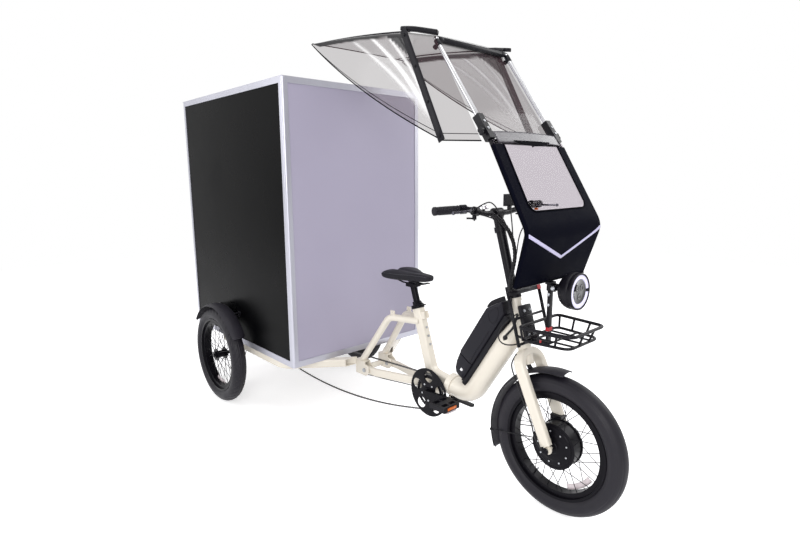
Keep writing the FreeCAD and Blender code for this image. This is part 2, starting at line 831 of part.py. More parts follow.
def seat_tube():
    # Seat tube with its lower run, the coupling plate, the web and the bottom bracket shell.
    bar = bent_bar([seat_top, seat_corner, coupling], seat_bend_radius, axis_y, seat_tube_width,
                   seat_tube_depth, 12.0)
    plate = rod(coupling - run_forward * coupling_thickness, coupling, coupling_radius)
    barrel = rod(shell - axis_y * (shell_length / 2), shell + axis_y * (shell_length / 2), shell_radius)
    web = block(shell_x - 32.0, shell_x + 24.0, -shell_length / 4, shell_length / 4, shell_z, seat_corner_z - 8.0)
    sleeve = rod(seat_top - seat_up * 40.0, seat_top, seatpost_radius + 7.0)
    body = fused([bar, plate, barrel, web, sleeve])
    bore = rod(seat_top + seat_up * 2.0, seat_top - seat_up * (seatpost_depth + 95.0), seatpost_radius + running_gap)
    spindle = rod(shell - axis_y * 60.0, shell + axis_y * 60.0, spindle_radius + running_gap)
    return body.cut(bore).cut(spindle)


def stay_points(side):
    inner = shell_length / 4 + stay_width / 2 - 1.0
    clear = shell_x - guard_radius - 12.0
    return [
        Vec(shell_x - 24.0, side * inner, shell_z + 14.0),
        Vec(clear, side * inner, shell_z + 14.0),
        Vec(pivot_x + 64.0, side * pivot_y, pivot_z),
        Vec(pivot_x - 10.0, side * pivot_y, pivot_z),
    ]


def lower_stays(seat):
    bars = []
    for side in (-1, 1):
        bar = bent_bar(stay_points(side), 90.0, axis_y, stay_width, stay_height, 5.0)
        core = bent_bar(stay_points(side), 90.0, axis_y, stay_width - 2 * tube_wall, stay_height - 2 * tube_wall, 2.0)
        bar = bar.cut(core)
        bolt = rod(Vec(pivot_x, -200, pivot_z), Vec(pivot_x, 200, pivot_z), pivot_bolt_radius)
        bars.append(max(bar.cut(seat).cut(bolt).Solids, key=lambda s: s.Volume))
    return Part.makeCompound(bars)


def bracket_box(side):
    # Outer limits of one pivot bracket: inner and outer Y of its two ears.
    near = pivot_y - bracket_inside / 2
    far = pivot_y + bracket_inside / 2
    return near, far


def pivot_bracket():
    # Left bracket: two ears with round noses, a back plate and a top plate for the upper arm.
    near, far = bracket_box(1)
    back_x = pivot_x - bracket_length
    ears = []
    for y in (near - bracket_plate, far):
        nose = Part.makeCylinder(30.0, bracket_plate, Vec(pivot_x, y, pivot_z), axis_y)
        plate = block(back_x, pivot_x, y, y + bracket_plate, pivot_z - 30.0, pivot_z + 44.0)
        ears.append(fused([nose, plate]))
    y0 = near - bracket_plate
    y1 = far + bracket_plate
    back = block(back_x - bracket_plate, back_x, y0, y1, pivot_z - 30.0, pivot_z + 44.0)
    top = block(back_x, pivot_x - 6.0, y0, y1, pivot_z + 38.0, pivot_z + 44.0)
    body = fused(ears + [back, top])
    return body.cut(rod(Vec(pivot_x, 0, pivot_z), Vec(pivot_x, 200, pivot_z), pivot_bolt_radius))


def pivot_brackets():
    cross = rod(Vec(pivot_x - 44.0, -pivot_y, pivot_z - 8.0), Vec(pivot_x - 44.0, pivot_y, pivot_z - 8.0), 15.0)
    left = pivot_bracket()
    near, far = bracket_box(1)
    room = block(0, wheelbase, -near + bracket_plate, near - bracket_plate, 0, 2 * pivot_z)
    return Part.makeCompound([left, mirrored(left), cross.common(room)])


arm_foot = Vec(pivot_x - bracket_length / 2 - 3.0, pivot_y, pivot_z + 44.0)
arm_head = seat_top - seat_up * 76.0
arm_bend = Vec(pivot_x + arm_bend_ahead, arm_bend_y, arm_head.z - 2.0)


def upper_arms(seat):
    # Bent arms from the seat tube's sides down to the brackets, each with a drilled tab on top.
    start = arm_head + axis_y * (seat_tube_width / 4)
    line = [start, arm_bend, arm_foot + (arm_foot - arm_bend).normalize() * 30.0]
    tube = bent_rod(line, 60.0, arm_radius)
    core = bent_rod(line, 60.0, arm_radius - tube_wall)
    floor = block(0, wheelbase, -10, box_half, 0, arm_foot.z)
    tab_at = arm_bend + Vec(22.0, -2.0, arm_radius - 6.0)
    tab = block(tab_at.x - 13.0, tab_at.x + 13.0, tab_at.y - 3.0, tab_at.y + 3.0, tab_at.z - 6.0, tab_at.z + 24.0)
    hole_z = tab_at.z + 13.0
    hole = rod(Vec(tab_at.x, -100, hole_z), Vec(tab_at.x, 200, hole_z), tab_hole_radius)
    body = fused([tube, tab]).cut(core).cut(hole).cut(floor).cut(seat)
    return pair(max(body.Solids, key=lambda s: s.Volume))


def rear_arms():
    # From each bracket out and back under the box, level, flush with the box's underside.
    back_x = pivot_x - bracket_length - bracket_plate
    points = [
        Vec(back_x + 30.0, pivot_y + 10.0, rear_arm_z),
        Vec(rear_arm_corner_x, rear_arm_y, rear_arm_z),
        Vec(rear_arm_end_x, rear_arm_y, rear_arm_z),
    ]
    bar = bent_bar(points, 90.0, axis_z, rear_arm_height, rear_arm_width, 7.0)
    core = bent_bar(points, 90.0, axis_z, rear_arm_height - 2 * tube_wall, rear_arm_width - 2 * tube_wall, 4.0)
    room = block(rear_arm_end_x - 10.0, back_x, 0, 1000, 0, 1000)
    return pair(bar.cut(core).common(room).Solids[0])


def axle_beam():
    inner = rear_arm_y - rear_arm_width / 2
    points = [Vec(beam_x, -inner, rear_arm_z), Vec(beam_x, inner, rear_arm_z)]
    profile = rounded_rectangle(points[0], axis_x, axis_z, rear_arm_width, rear_arm_height, 7.0)
    inner_width = rear_arm_width - 2 * tube_wall
    core = rounded_rectangle(points[0], axis_x, axis_z, inner_width, rear_arm_height - 2 * tube_wall, 4.0)
    along = points[1] - points[0]
    return Part.Face(profile).extrude(along).cut(Part.Face(core).extrude(along))


def drive_housing():
    # Gear case of the differential, hung from the beam, with a cover ring on each side.
    y0 = drive_shift - drive_length / 2
    y1 = drive_shift + drive_length / 2
    low_z = rear_arm_z - rear_arm_height / 2
    case = rod(rear_axle + axis_y * y0, rear_axle + axis_y * y1, drive_radius)
    rim_ring = rod(rear_axle + axis_y * (drive_shift - 5.0), rear_axle + axis_y * (drive_shift + 5.0),
                   drive_radius + 6.0)
    hanger = block(beam_x - rear_arm_width / 2, 6.0, drive_shift - 30.0, drive_shift + 30.0, low_z - 34.0, low_z)
    body = fused([case, rim_ring, hanger])
    cavity = rod(rear_axle + axis_y * (y0 + 8.0), rear_axle + axis_y * (y1 - 8.0), drive_radius - 8.0)
    shaft = rod(rear_axle + axis_y * (y0 - 5.0), rear_axle + axis_y * (y1 + 5.0), rear_shaft_radius + running_gap)
    return body.cut(cavity).cut(shaft)


def axle_bearings():
    # Pillow blocks under the rear arms.
    low_z = rear_arm_z - rear_arm_height / 2
    y0 = rear_arm_y - bearing_width / 2
    ring = Part.makeCylinder(bearing_radius, bearing_width, Vec(0, y0, wheel_radius), axis_y)
    foot = block(-44.0, 44.0, y0, y0 + bearing_width, low_z - 14.0, low_z)
    neck = block(-22.0, 22.0, y0, y0 + bearing_width, wheel_radius, low_z)
    bore = rod(Vec(0, y0 - 5.0, wheel_radius), Vec(0, y0 + bearing_width + 5.0, wheel_radius),
               rear_shaft_radius + running_gap)
    return pair(fused([ring, foot, neck]).cut(bore))


def bolt(at, direction, head_radius_mm, head_height, shank_radius, shank):
    # A hexagon head outside the point and its shank inside.
    away = Vec(direction).normalize()
    side = away.cross(axis_z if abs(away.z) < 0.9 else axis_x).normalize()
    other = away.cross(side)
    points = []
    for k in range(6):
        a = math.radians(60.0 * k)
        points.append(at + side * (head_radius_mm * math.cos(a)) + other * (head_radius_mm * math.sin(a)))
    head = prism(points, away * head_height)
    if shank <= 0:
        return head
    return head.fuse(rod(at, at - away * shank, shank_radius)).removeSplitter()


def frame_bolts():
    # Pivot bolts through the brackets, bearing bolts, boss bolts on the seat tube and the seat clamp.
    near, far = bracket_box(1)
    outside = far + bracket_plate
    grip = far - near + 2 * bracket_plate
    pieces = []
    for side in (-1, 1):
        at = Vec(pivot_x, side * outside, pivot_z)
        pieces.append(bolt(at, axis_y * side, 11.0, 7.0, pivot_bolt_radius, grip))
        nut_at = Vec(pivot_x, side * (outside - grip), pivot_z)
        pieces.append(bolt(nut_at, axis_y * -side, 11.0, 6.0, 0.0, 0.0))
        for x in (-33.0, 33.0):
            foot_z = rear_arm_z - rear_arm_height / 2 - 14.0
            pieces.append(bolt(Vec(x, side * rear_arm_y, foot_z), axis_z * -1, 8.0, 5.0, 0.0, 0.0))
    forward = seat_up.cross(axis_y) * -1
    if forward.x < 0:
        forward = forward * -1
    for down in (110.0, 150.0, 190.0):
        at = seat_top - seat_up * down + forward * (seat_tube_depth / 2)
        pieces.append(bolt(at, forward, 6.0, 4.0, 0.0, 0.0))
    clamp_low = seat_top - seat_up * 14.0
    band = pipe(clamp_low, seat_top - seat_up * 0.5, seatpost_radius + 14.0, seatpost_radius + 7.0)
    tube = bent_bar([seat_top, seat_corner, coupling], seat_bend_radius, axis_y, seat_tube_width,
                    seat_tube_depth, 12.0)
    pieces.append(max(band.cut(tube).Solids, key=lambda s: s.Volume))
    return Part.makeCompound(pieces)


latch_pivot = coupling - axis_z * (coupling_radius + 9.0) - axis_x * (coupling_thickness / 2)


def latch_ear():
    # The ear under the coupling that carries the latch lever's pin.
    half = coupling_thickness / 2
    ear = block(latch_pivot.x - half, latch_pivot.x + half - 2.0, -4.0, 4.0, latch_pivot.z - 8.0, coupling.z - 20.0)
    pin = rod(latch_pivot - axis_y * 14.0, latch_pivot + axis_y * 14.0, 4.0)
    return ear, pin


def frame_latch_lever():
    # A flat forked lever lying under the main tube's lower run.
    cheeks = []
    for y in (-12.0, 4.0 + moving_gap):
        depth = 8.0 - moving_gap
        ring = Part.makeCylinder(9.0, depth, latch_pivot + axis_y * y, axis_y)
        arm = block(latch_pivot.x, latch_pivot.x + 40.0, y, y + depth, latch_pivot.z - 9.0, latch_pivot.z + 1.0)
        cheeks.append(fused([ring, arm]))
    blade = block(latch_pivot.x + 26.0, latch_pivot.x + 116.0, -12.0, 12.0, latch_pivot.z - 10.0, latch_pivot.z - 2.0)
    nose = Part.makeCylinder(12.0, 8.0, Vec(latch_pivot.x + 116.0, 0, latch_pivot.z - 10.0), axis_z)
    body = fused(cheeks + [blade, nose])
    return body.cut(rod(latch_pivot - axis_y * 30.0, latch_pivot + axis_y * 30.0, 4.0 + running_gap))


# Drivetrain

def belt_outline(wheels, offset):
    # A closed path round wheels given as (x, z, radius, side); side -1 has the path pass outside it.
    arcs = []
    count = len(wheels)
    tangents = []
    for k in range(count):
        x0, z0, r0, s0 = wheels[k]
        x1, z1, r1, s1 = wheels[(k + 1) % count]
        a = s0 * (r0 + s0 * offset)
        b = s1 * (r1 + s1 * offset)
        dx, dz = x1 - x0, z1 - z0
        length = math.hypot(dx, dz)
        lean = math.asin((b - a) / length)
        heading = math.atan2(dz, dx)
        nx = math.cos(heading + math.pi / 2 + lean)
        nz = math.sin(heading + math.pi / 2 + lean)
        tangents.append((Vec(x0 + a * nx, 0, z0 + a * nz), Vec(x1 + b * nx, 0, z1 + b * nz)))
    edges = []
    for k in range(count):
        leave, arrive = tangents[k]
        edges.append(Part.LineSegment(leave, arrive).toShape())
        x, z, radius, side = wheels[(k + 1) % count]
        following = tangents[(k + 1) % count][0]
        centre = Vec(x, 0, z)
        start = math.atan2(arrive.z - z, arrive.x - x)
        end = math.atan2(following.z - z, following.x - x)
        sweep = (end - start) % (2 * math.pi)
        if side > 0:
            sweep = sweep - 2 * math.pi
        middle = start + sweep / 2
        reach = radius + side * offset
        bulge = centre + Vec(reach * math.cos(middle), 0, reach * math.sin(middle))
        edges.append(Part.Arc(arrive, bulge, following).toShape())
    return Part.Wire(edges)


def chain():
    # The loop round chainring, cassette and the two jockey wheels, with a slack lower run.
    ring = (shell_x, shell_z, ring_radius + moving_gap, 1)
    rear = (0.0, wheel_radius, sprocket_radius + moving_gap, 1)
    high = (jockey_high_x, jockey_high_z, jockey_radius + moving_gap + chain_height, -1)
    low = (jockey_low_x, jockey_low_z, jockey_radius + moving_gap, 1)
    ring_foot = Vec(shell_x, 0, shell_z - ring_radius)
    low_foot = Vec(jockey_low_x, 0, jockey_low_z - jockey_radius)
    span = ring_foot - low_foot
    slack_radius = span.Length ** 2 / (8 * chain_sag)
    up = Vec(-span.z, 0, span.x).normalize()
    slack_centre = (ring_foot + low_foot) * 0.5 + up * (slack_radius - chain_sag)
    slack = (slack_centre.x, slack_centre.z, slack_radius, 1)
    wheels = [rear, ring, slack, low, high]
    outer = Part.Face(belt_outline(wheels, chain_height))
    inner = Part.Face(belt_outline(wheels, 0.0))
    band = outer.cut(inner).Faces[0].extrude(axis_y * chain_width)
    band.translate(axis_y * (chain_y - chain_width / 2))
    return band


def chainring():
    # Toothed ring, five arms and the round guard outside it.
    thickness = 3.0
    y0 = chain_y - thickness / 2
    face = Vec(shell_x, y0, shell_z)
    plate = pipe(face, face + axis_y * thickness, ring_radius, ring_radius - 16.0)
    teeth = []
    for k in range(ring_teeth):
        at = on_circle(shell, ring_radius + 2.5, k * 360.0 / ring_teeth, y0 - 1.0)
        teeth.append(Part.makeCylinder(4.0, thickness + 2.0, at, axis_y))
    plate = plate.cut(Part.makeCompound(teeth))
    arms = []
    for k in range(5):
        tip = on_circle(shell, ring_radius - 8.0, k * 72.0, y0)
        root = on_circle(shell, spindle_radius + 8.0, k * 72.0, y0)
        across = (tip - root).normalize().cross(axis_y)
        points = [root + across * 13.0, tip + across * 8.0, tip - across * 8.0, root - across * 13.0]
        arms.append(prism(points, axis_y * thickness))
    boss = pipe(face - axis_y * 8.0, face + axis_y * thickness, spindle_radius + 14.0, spindle_radius)
    guard_face = face - axis_y * 8.0
    guard = pipe(guard_face, guard_face + axis_y * thickness, guard_radius, ring_radius + 4.0)
    guard_arms = []
    for k in range(5):
        tip = on_circle(shell, guard_radius - 6.0, k * 72.0, guard_face.y)
        root = on_circle(shell, spindle_radius + 8.0, k * 72.0, guard_face.y)
        across = (tip - root).normalize().cross(axis_y)
        points = [root + across * 13.0, tip + across * 7.0, tip - across * 7.0, root - across * 13.0]
        guard_arms.append(prism(points, axis_y * thickness))
    return fused([plate, boss, guard] + arms + guard_arms)


def crank_arm(side, degrees):
    y0 = side * crank_y if side > 0 else -crank_y - crank_thickness
    at = Vec(shell_x, y0, shell_z)
    tip = on_circle(shell, crank_length, degrees, y0)
    across = (tip - at).normalize().cross(axis_y)
    web = prism([at + across * 14.0, tip + across * 10.0, tip - across * 10.0, at - across * 14.0],
                axis_y * crank_thickness)
    eye = Part.makeCylinder(16.0, crank_thickness, at, axis_y)
    foot = Part.makeCylinder(13.0, crank_thickness, tip, axis_y)
    pin_start = tip if side < 0 else tip + axis_y * crank_thickness
    pin = rod(pin_start, pin_start + axis_y * (side * (pedal_width - 8.0)), pedal_pin_radius)
    return fused([web, eye, foot, pin])


def crank_arms():
    right = crank_arm(-1, crank_rise_angle)
    left = crank_arm(1, crank_rise_angle + 180.0)
    spindle = rod(shell - axis_y * crank_y, shell + axis_y * crank_y, spindle_radius)
    sleeve = pipe(shell - axis_y * crank_y, Vec(shell_x, chain_y - 9.5, shell_z), spindle_radius + 9.0, spindle_radius)
    return Part.makeCompound([fused([right, left, spindle, sleeve])])


def pedal(side):
    # A platform with open sides that turns on the crank's pin.
    degrees = crank_rise_angle if side < 0 else crank_rise_angle + 180.0
    at = on_circle(shell, crank_length, degrees)
    y0 = crank_y + crank_thickness + moving_gap
    y1 = y0 + pedal_width
    half = pedal_length / 2
    low = at.z - pedal_height / 2
    high = at.z + pedal_height / 2
    body = block(at.x - half, at.x + half, y0, y1, low, high)
    for x0, x1 in ((at.x - half + 10.0, at.x - 14.0), (at.x + 14.0, at.x + half - 10.0)):
        for ya, yb in ((y0 + 10.0, y0 + pedal_width / 2 - 5.0), (y0 + pedal_width / 2 + 5.0, y1 - 10.0)):
            body = body.cut(block(x0, x1, ya, yb, low - 1.0, high + 1.0))
    hole = rod(Vec(at.x, y0 - 5.0, at.z), Vec(at.x, y1 - 6.0, at.z), pedal_pin_radius + running_gap)
    body = body.cut(hole)
    return body if side > 0 else mirrored(body)


def cassette():
    # Five sprockets on one carrier that turns about the right half shaft.
    pieces = []
    y_in = drive_shift - drive_length / 2 - moving_gap
    for k, teeth in enumerate((22, 18, sprocket_teeth, 12, 11)):
        y = chain_y + (2 - k) * 5.6
        radius = teeth * chain_pitch / (2 * math.pi)
        at = Vec(0, y - 0.9, wheel_radius)
        disc = pipe(at, at + axis_y * 1.8, radius, rear_shaft_radius + 6.0)
        pieces.append(disc)
    y_out = chain_y - 15.0
    start = Vec(0, y_out, wheel_radius)
    carrier = pipe(start, Vec(0, y_in, wheel_radius), rear_shaft_radius + 7.0,
                   rear_shaft_radius + running_gap)
    return fused([carrier] + pieces)


def derailleur():
    # Hanger, cage plates and the two jockey wheels.
    high = Vec(jockey_high_x, chain_y, jockey_high_z)
    low = Vec(jockey_low_x, chain_y, jockey_low_z)
    pieces = []
    for at in (high, low):
        pieces.append(rod(at - axis_y * 2.0, at + axis_y * 2.0, jockey_radius - 2.0))
        pieces.append(rod(at - axis_y * 10.0, at + axis_y * 10.0, 4.0))
    across = (high - low).normalize().cross(axis_y)
    for y in (-9.0, 6.0):
        points = []
        for end, shift in ((high, 1), (low, 1), (low, -1), (high, -1)):
            points.append(end + across * (shift * 9.0) + axis_y * y)
        pieces.append(prism(points, axis_y * 3.0))
    link_y = chain_y + 6.0
    knee = Vec(jockey_high_x - 34.0, 0, jockey_high_z - 6.0)
    hanger = prism([
        Vec(high.x + 8.0, link_y, high.z - 8.0), Vec(high.x + 8.0, link_y, high.z + 8.0),
        Vec(knee.x, link_y, knee.z + 34.0), Vec(knee.x - 16.0, link_y, knee.z + 24.0),
    ], axis_y * (drive_shift - drive_length / 2 + 12.0 - link_y))
    case = rod(Vec(0, -100, wheel_radius), Vec(0, 100, wheel_radius), drive_radius)
    body = fused(pieces + [hanger]).cut(case)
    return max(body.Solids, key=lambda s: s.Volume)


# Saddle and battery

def seat_rail_z():
    return saddle_top - saddle_depth - 14.0


saddle_mid = seat_top + seat_up * ((saddle_top - saddle_depth - 20.0 - seat_top.z) / seat_up.z)


def seatpost():
    # Post, clamp head and the two saddle rails.
    top = saddle_mid
    post = rod(seat_top - seat_up * seatpost_depth, top, seatpost_radius)
    head = block(top.x - 26.0, top.x + 26.0, -24.0, 24.0, top.z - 8.0, top.z + 10.0)
    rails = []
    under = saddle_top - saddle_depth - seat_gap
    for y in (-19.0, 19.0):
        points = [
            Vec(top.x - 92.0, y * 1.3, under), Vec(top.x - 50.0, y, top.z + 8.0),
            Vec(top.x + 50.0, y, top.z + 8.0), Vec(top.x + 98.0, y * 0.6, under),
        ]
        rails.append(bent_rod(points, 18.0, 3.6))
    lid = block(top.x - 400.0, top.x + 400.0, -200.0, 200.0, under, under + 60.0)
    return fused([post, head] + rails).cut(lid)


def saddle():
    # Crowned top, drawn-in sides and a slim nose: sections from the tail to the nose.
    tail_x = saddle_mid.x - saddle_length * 0.52
    half = saddle_width / 2
    base = saddle_top - saddle_depth
    stations = (
        (0.00, 0.58, 14.0), (0.07, 0.92, 3.0), (0.22, 1.00, 0.0), (0.40, 0.80, 3.0),
        (0.58, 0.42, 5.0), (0.76, 0.25, 4.0), (0.93, 0.20, 3.0), (1.00, 0.11, 9.0),
    )
    wires = []
    for along, share, drop in stations:
        x = tail_x + saddle_length * along
        w = half * share
        crown = saddle_top - drop
        edge = crown - 10.0 - 6.0 * share
        foot = w * 0.80
        left = Vec(x, -w, edge)
        right = Vec(x, w, edge)
        waist = (edge + base) / 2
        edges = [
            Part.Arc(left, Vec(x, 0, crown), right).toShape(),
            Part.Arc(right, Vec(x, w * 0.93, waist), Vec(x, foot, base)).toShape(),
            Part.LineSegment(Vec(x, foot, base), Vec(x, -foot, base)).toShape(),
            Part.Arc(Vec(x, -foot, base), Vec(x, -w * 0.93, waist), left).toShape(),
        ]
        wires.append(Part.Wire(edges))
    return Part.makeLoft(wires, True, False)


def on_main(along, out, side=0.0):
    # A point by its distance along the main tube, off its upper side and to the left.
    return main_bend + main_up * along + main_out * out + axis_y * side


def main_block(a0, a1, y0, y1, o0, o1):
    corners = [on_main(a0, o0, y0), on_main(a1, o0, y0), on_main(a1, o1, y0), on_main(a0, o1, y0)]
    return prism(corners, axis_y * (y1 - y0))


battery_low = main_tube_radius + tray_depth
pivot_lift = 6.0
battery_pivot = on_main(battery_start - pivot_lift, battery_low + pivot_lift)


def battery():
    half = battery_width / 2
    body = main_block(battery_start, battery_start + battery_length, -half, half,
                      battery_low + seat_gap, battery_low + battery_depth)
    body = body.makeFillet(14.0, [e for e in body.Edges if abs(e.Length - battery_length) < 0.01])
    eye = rod(battery_pivot - axis_y * 16.0, battery_pivot + axis_y * 16.0, pivot_lift - moving_gap)
    neck = main_block(battery_start - pivot_lift, battery_start + 1.0, -16.0, 16.0, battery_low + 3.0, battery_low + 10.0)
    pin = rod(battery_pivot - axis_y * 40.0, battery_pivot + axis_y * 40.0, 4.0 + running_gap)
    return fused([body, eye, neck]).cut(pin)


def battery_tray(tube):
    # Dock bolted along the tube, with two ears and the pin that the battery tips about.
    half = battery_width / 2 - 8.0
    plate = main_block(battery_start - 16.0, battery_start + battery_length - 6.0, -half, half,
                       main_tube_radius - 26.0, battery_low)
    ears = []
    for y in (-26.0, 16.0 + moving_gap):
        ears.append(main_block(battery_start - 16.0, battery_start - pivot_lift / 2, y, y + 10.0 - moving_gap,
                               battery_low - 2.0, battery_low + 2 * pivot_lift))
    pin = rod(battery_pivot - axis_y * 26.0, battery_pivot + axis_y * 26.0, 4.0)
    core = bent_rod([coupling, main_bend, main_join], main_bend_radius, main_tube_radius)
    body = fused([plate] + ears).cut(core).cut(tube)
    body = max(body.Solids, key=lambda s: s.Volume)
    return fused([body, pin])


# Cargo box

def box_corner(x, y, sx, sy):
    # One upright: a square bar whose outer edge is round.
    x0 = min(x, x - sx * box_rail)
    y0 = min(y, y - sy * box_rail)
    bar = block(x0, x0 + box_rail, y0, y0 + box_rail, box_floor_z, box_top_z - cap_thickness)
    edges = [e for e in bar.Edges if abs(e.Vertexes[0].X - x) < 0.01 and abs(e.Vertexes[-1].X - x) < 0.01
             and abs(e.Vertexes[0].Y - y) < 0.01 and abs(e.Vertexes[-1].Y - y) < 0.01]
    inside = box_rail - 2 * rail_wall
    x1 = x0 + rail_wall
    y1 = y0 + rail_wall
    core = block(x1, x1 + inside, y1, y1 + inside, box_floor_z, box_top_z - cap_thickness)
    core_edges = [e for e in core.Edges if abs(e.Length - (box_top_z - cap_thickness - box_floor_z)) < 0.01]
    return bar.makeFillet(box_post_round, edges).cut(core.makeFillet(box_post_round - rail_wall, core_edges))


def hollow_rail(x0, x1, y0, y1, z0, z1, along_x):
    # A square rail with an open core along its length.
    w = rail_wall
    dx, dy = (0.0, w) if along_x else (w, 0.0)
    return block(x0, x1, y0, y1, z0, z1).cut(block(x0 + dx, x1 - dx, y0 + dy, y1 - dy, z0 + w, z1 - w))


def box_frame():
    pieces = []
    for x, sx in ((box_rear_x, -1), (box_front_x, 1)):
        for y, sy in ((-box_half, -1), (box_half, 1)):
            pieces.append(box_corner(x, y, sx, sy))
            cap = block(min(x, x - sx * box_rail), max(x, x - sx * box_rail), min(y, y - sy * box_rail),
                        max(y, y - sy * box_rail), box_top_z - cap_thickness, box_top_z)
            pieces.append(cap)
    for z in (box_floor_z, box_top_z - box_rail):
        for y in (-box_half, box_half - box_rail):
            pieces.append(hollow_rail(box_rear_x + box_rail, box_front_x - box_rail, y, y + box_rail, z, z + box_rail, True))
        for x in (box_rear_x, box_front_x - box_rail):
            pieces.append(hollow_rail(x, x + box_rail, -box_half + box_rail, box_half - box_rail, z, z + box_rail, False))
    hinge_x, hinge_y = door_hinge()
    for z in hinge_heights():
        leaf = block(box_rear_x - hinge_leaf, box_rear_x, hinge_y + 1.0, hinge_y + 24.0, z, z + hinge_length)
        knuckle = pipe(Vec(hinge_x, hinge_y, z), Vec(hinge_x, hinge_y, z + hinge_length / 3), hinge_radius,
                       2.5 + running_gap)
        upper = knuckle.copy()
        upper.translate(axis_z * (2 * hinge_length / 3))
        slot = rod(Vec(hinge_x, hinge_y, z + hinge_length / 3), Vec(hinge_x, hinge_y, z + 2 * hinge_length / 3),
                   hinge_radius + moving_gap)
        bore = rod(Vec(hinge_x, hinge_y, z), Vec(hinge_x, hinge_y, z + hinge_length), 2.5 + running_gap)
        pieces.append(fused([leaf, knuckle, upper]).cut(slot).cut(bore))
    return Part.makeCompound(pieces)


def box_side_panels():
    y1 = box_half - panel_recess
    panel = block(box_rear_x + box_rail, box_front_x - box_rail, y1 - panel_thickness, y1,
                  box_floor_z + box_rail, box_top_z - box_rail)
    return pair(panel)


def box_pale_panels():
    inner = box_half - box_rail
    x1 = box_front_x - panel_recess
    front = block(x1 - panel_thickness, x1, -inner, inner, box_floor_z + box_rail, box_top_z - box_rail)
    z1 = box_top_z - panel_recess
    roof = block(box_rear_x + box_rail, box_front_x - box_rail, -inner, inner, z1 - panel_thickness, z1)
    return Part.makeCompound([front, roof])


def box_floor():
    inner = box_half - box_rail
    return block(box_rear_x + box_rail, box_front_x - box_rail, -inner, inner, box_floor_z,
                 box_floor_z + floor_thickness)


def door_hinge():
    # The hinge line stands just behind the left post's inner edge.
    return box_rear_x - hinge_radius - seat_gap, box_half - box_rail - door_gap / 2


def hinge_heights():
    return [box_floor_z + box_height * share for share in (0.12, 0.47, 0.82)]


handle_y = -(box_half - box_rail) + 70.0
handle_z = box_floor_z + box_height * 0.46


def rear_door():
    inner = box_half - box_rail - door_gap
    low = box_floor_z + box_rail + door_gap
    high = box_top_z - box_rail - door_gap
    slab = block(box_rear_x, box_rear_x + door_thickness, -inner, inner, low, high)
    edge = door_border
    pocket = block(box_rear_x + door_skin, box_rear_x + door_thickness, -inner + edge, inner - edge, low + edge, high - edge)
    slab = slab.cut(pocket)
    hinge_x, hinge_y = door_hinge()
    pieces = [slab]
    pins = []
    for z in hinge_heights():
        z0 = z + hinge_length / 3 + moving_gap
        z1 = z + 2 * hinge_length / 3 - moving_gap
        leaf = block(box_rear_x - hinge_leaf, box_rear_x, hinge_y - 26.0, hinge_y - 1.0, z0, z1)
        pieces.append(leaf)
        pieces.append(rod(Vec(hinge_x, hinge_y, z0), Vec(hinge_x, hinge_y, z1), hinge_radius))
        pins.append(rod(Vec(hinge_x, hinge_y, z + 1.0), Vec(hinge_x, hinge_y, z + hinge_length - 1.0), 2.5))
    plate = block(box_rear_x - 4.0, box_rear_x, handle_y - 22.0, handle_y + 22.0, handle_z - 34.0, handle_z + 34.0)
    stub = rod(Vec(box_rear_x - 10.0, handle_y, handle_z), Vec(box_rear_x, handle_y, handle_z), 6.0)
    return fused(pieces + pins + [plate, stub])


def door_handle():
    # A lever handle that turns about the stub on the door.
    end_x = handle_end_x
    boss = rod(Vec(end_x + 10.0, handle_y, handle_z), Vec(box_rear_x - 4.0 - moving_gap, handle_y, handle_z), 12.0)
    arm = rod(Vec(end_x + 11.0, handle_y, handle_z), Vec(end_x + 11.0, handle_y, handle_z - handle_length), 11.0)
    socket = rod(Vec(box_rear_x - 10.0 - moving_gap, handle_y, handle_z), Vec(box_rear_x, handle_y, handle_z),
                 6.0 + running_gap)
    return fused([boss, arm]).cut(socket)


def rear_fenders():
    # A curved guard over each rear wheel on two brackets from the box.
    inner = wheel_radius + fender_gap
    y0 = wheel_y - fender_width / 2
    skin = arc_band(rear_axle, inner, inner + fender_thickness, 30.0, 146.0, y0, y0 + fender_width)
    lips = []
    for y in (y0, y0 + fender_width - fender_thickness):
        lips.append(arc_band(rear_axle, inner - 9.0, inner, 30.0, 146.0, y, y + fender_thickness))
    wall = box_half - panel_recess
    arms = []
    for degrees in (62.0, 114.0):
        at = on_circle(rear_axle, inner - 16.0, degrees)
        arms.append(block(at.x - 12.0, at.x + 12.0, wall, y0 + fender_thickness, at.z - 14.0, at.z + 16.0))
    solid = fused([skin] + lips + arms)
    return pair(solid)


# Basket, headlight, fairing and canopy

def basket_corner(front, side, z):
    width = basket_front_width if front else basket_rear_width
    x = basket_rear_x + (basket_length if front else 0.0)
    return Vec(x, side * width / 2, z)


def trimmed(piece, neighbours):
    # What is left of a wire between the pieces that it runs into.
    cut = piece.cut(Part.makeCompound(neighbours))
    return max(cut.Solids, key=lambda s: s.Volume)


cross_share = 0.88


def wire_loop(points, radius):
    # Two long wires, and two cross wires that butt against them.
    spare = radius * 0.6
    longs = []
    for a, b in ((points[0], points[1]), (points[3], points[2])):
        along = (b - a).normalize() * spare
        longs.append(rod(a - along, b + along, radius))
    crosses = []
    for a, b in ((points[1], points[2]), (points[3], points[0])):
        crosses.append(trimmed(rod(a, b, radius * cross_share), longs))
    return longs + crosses


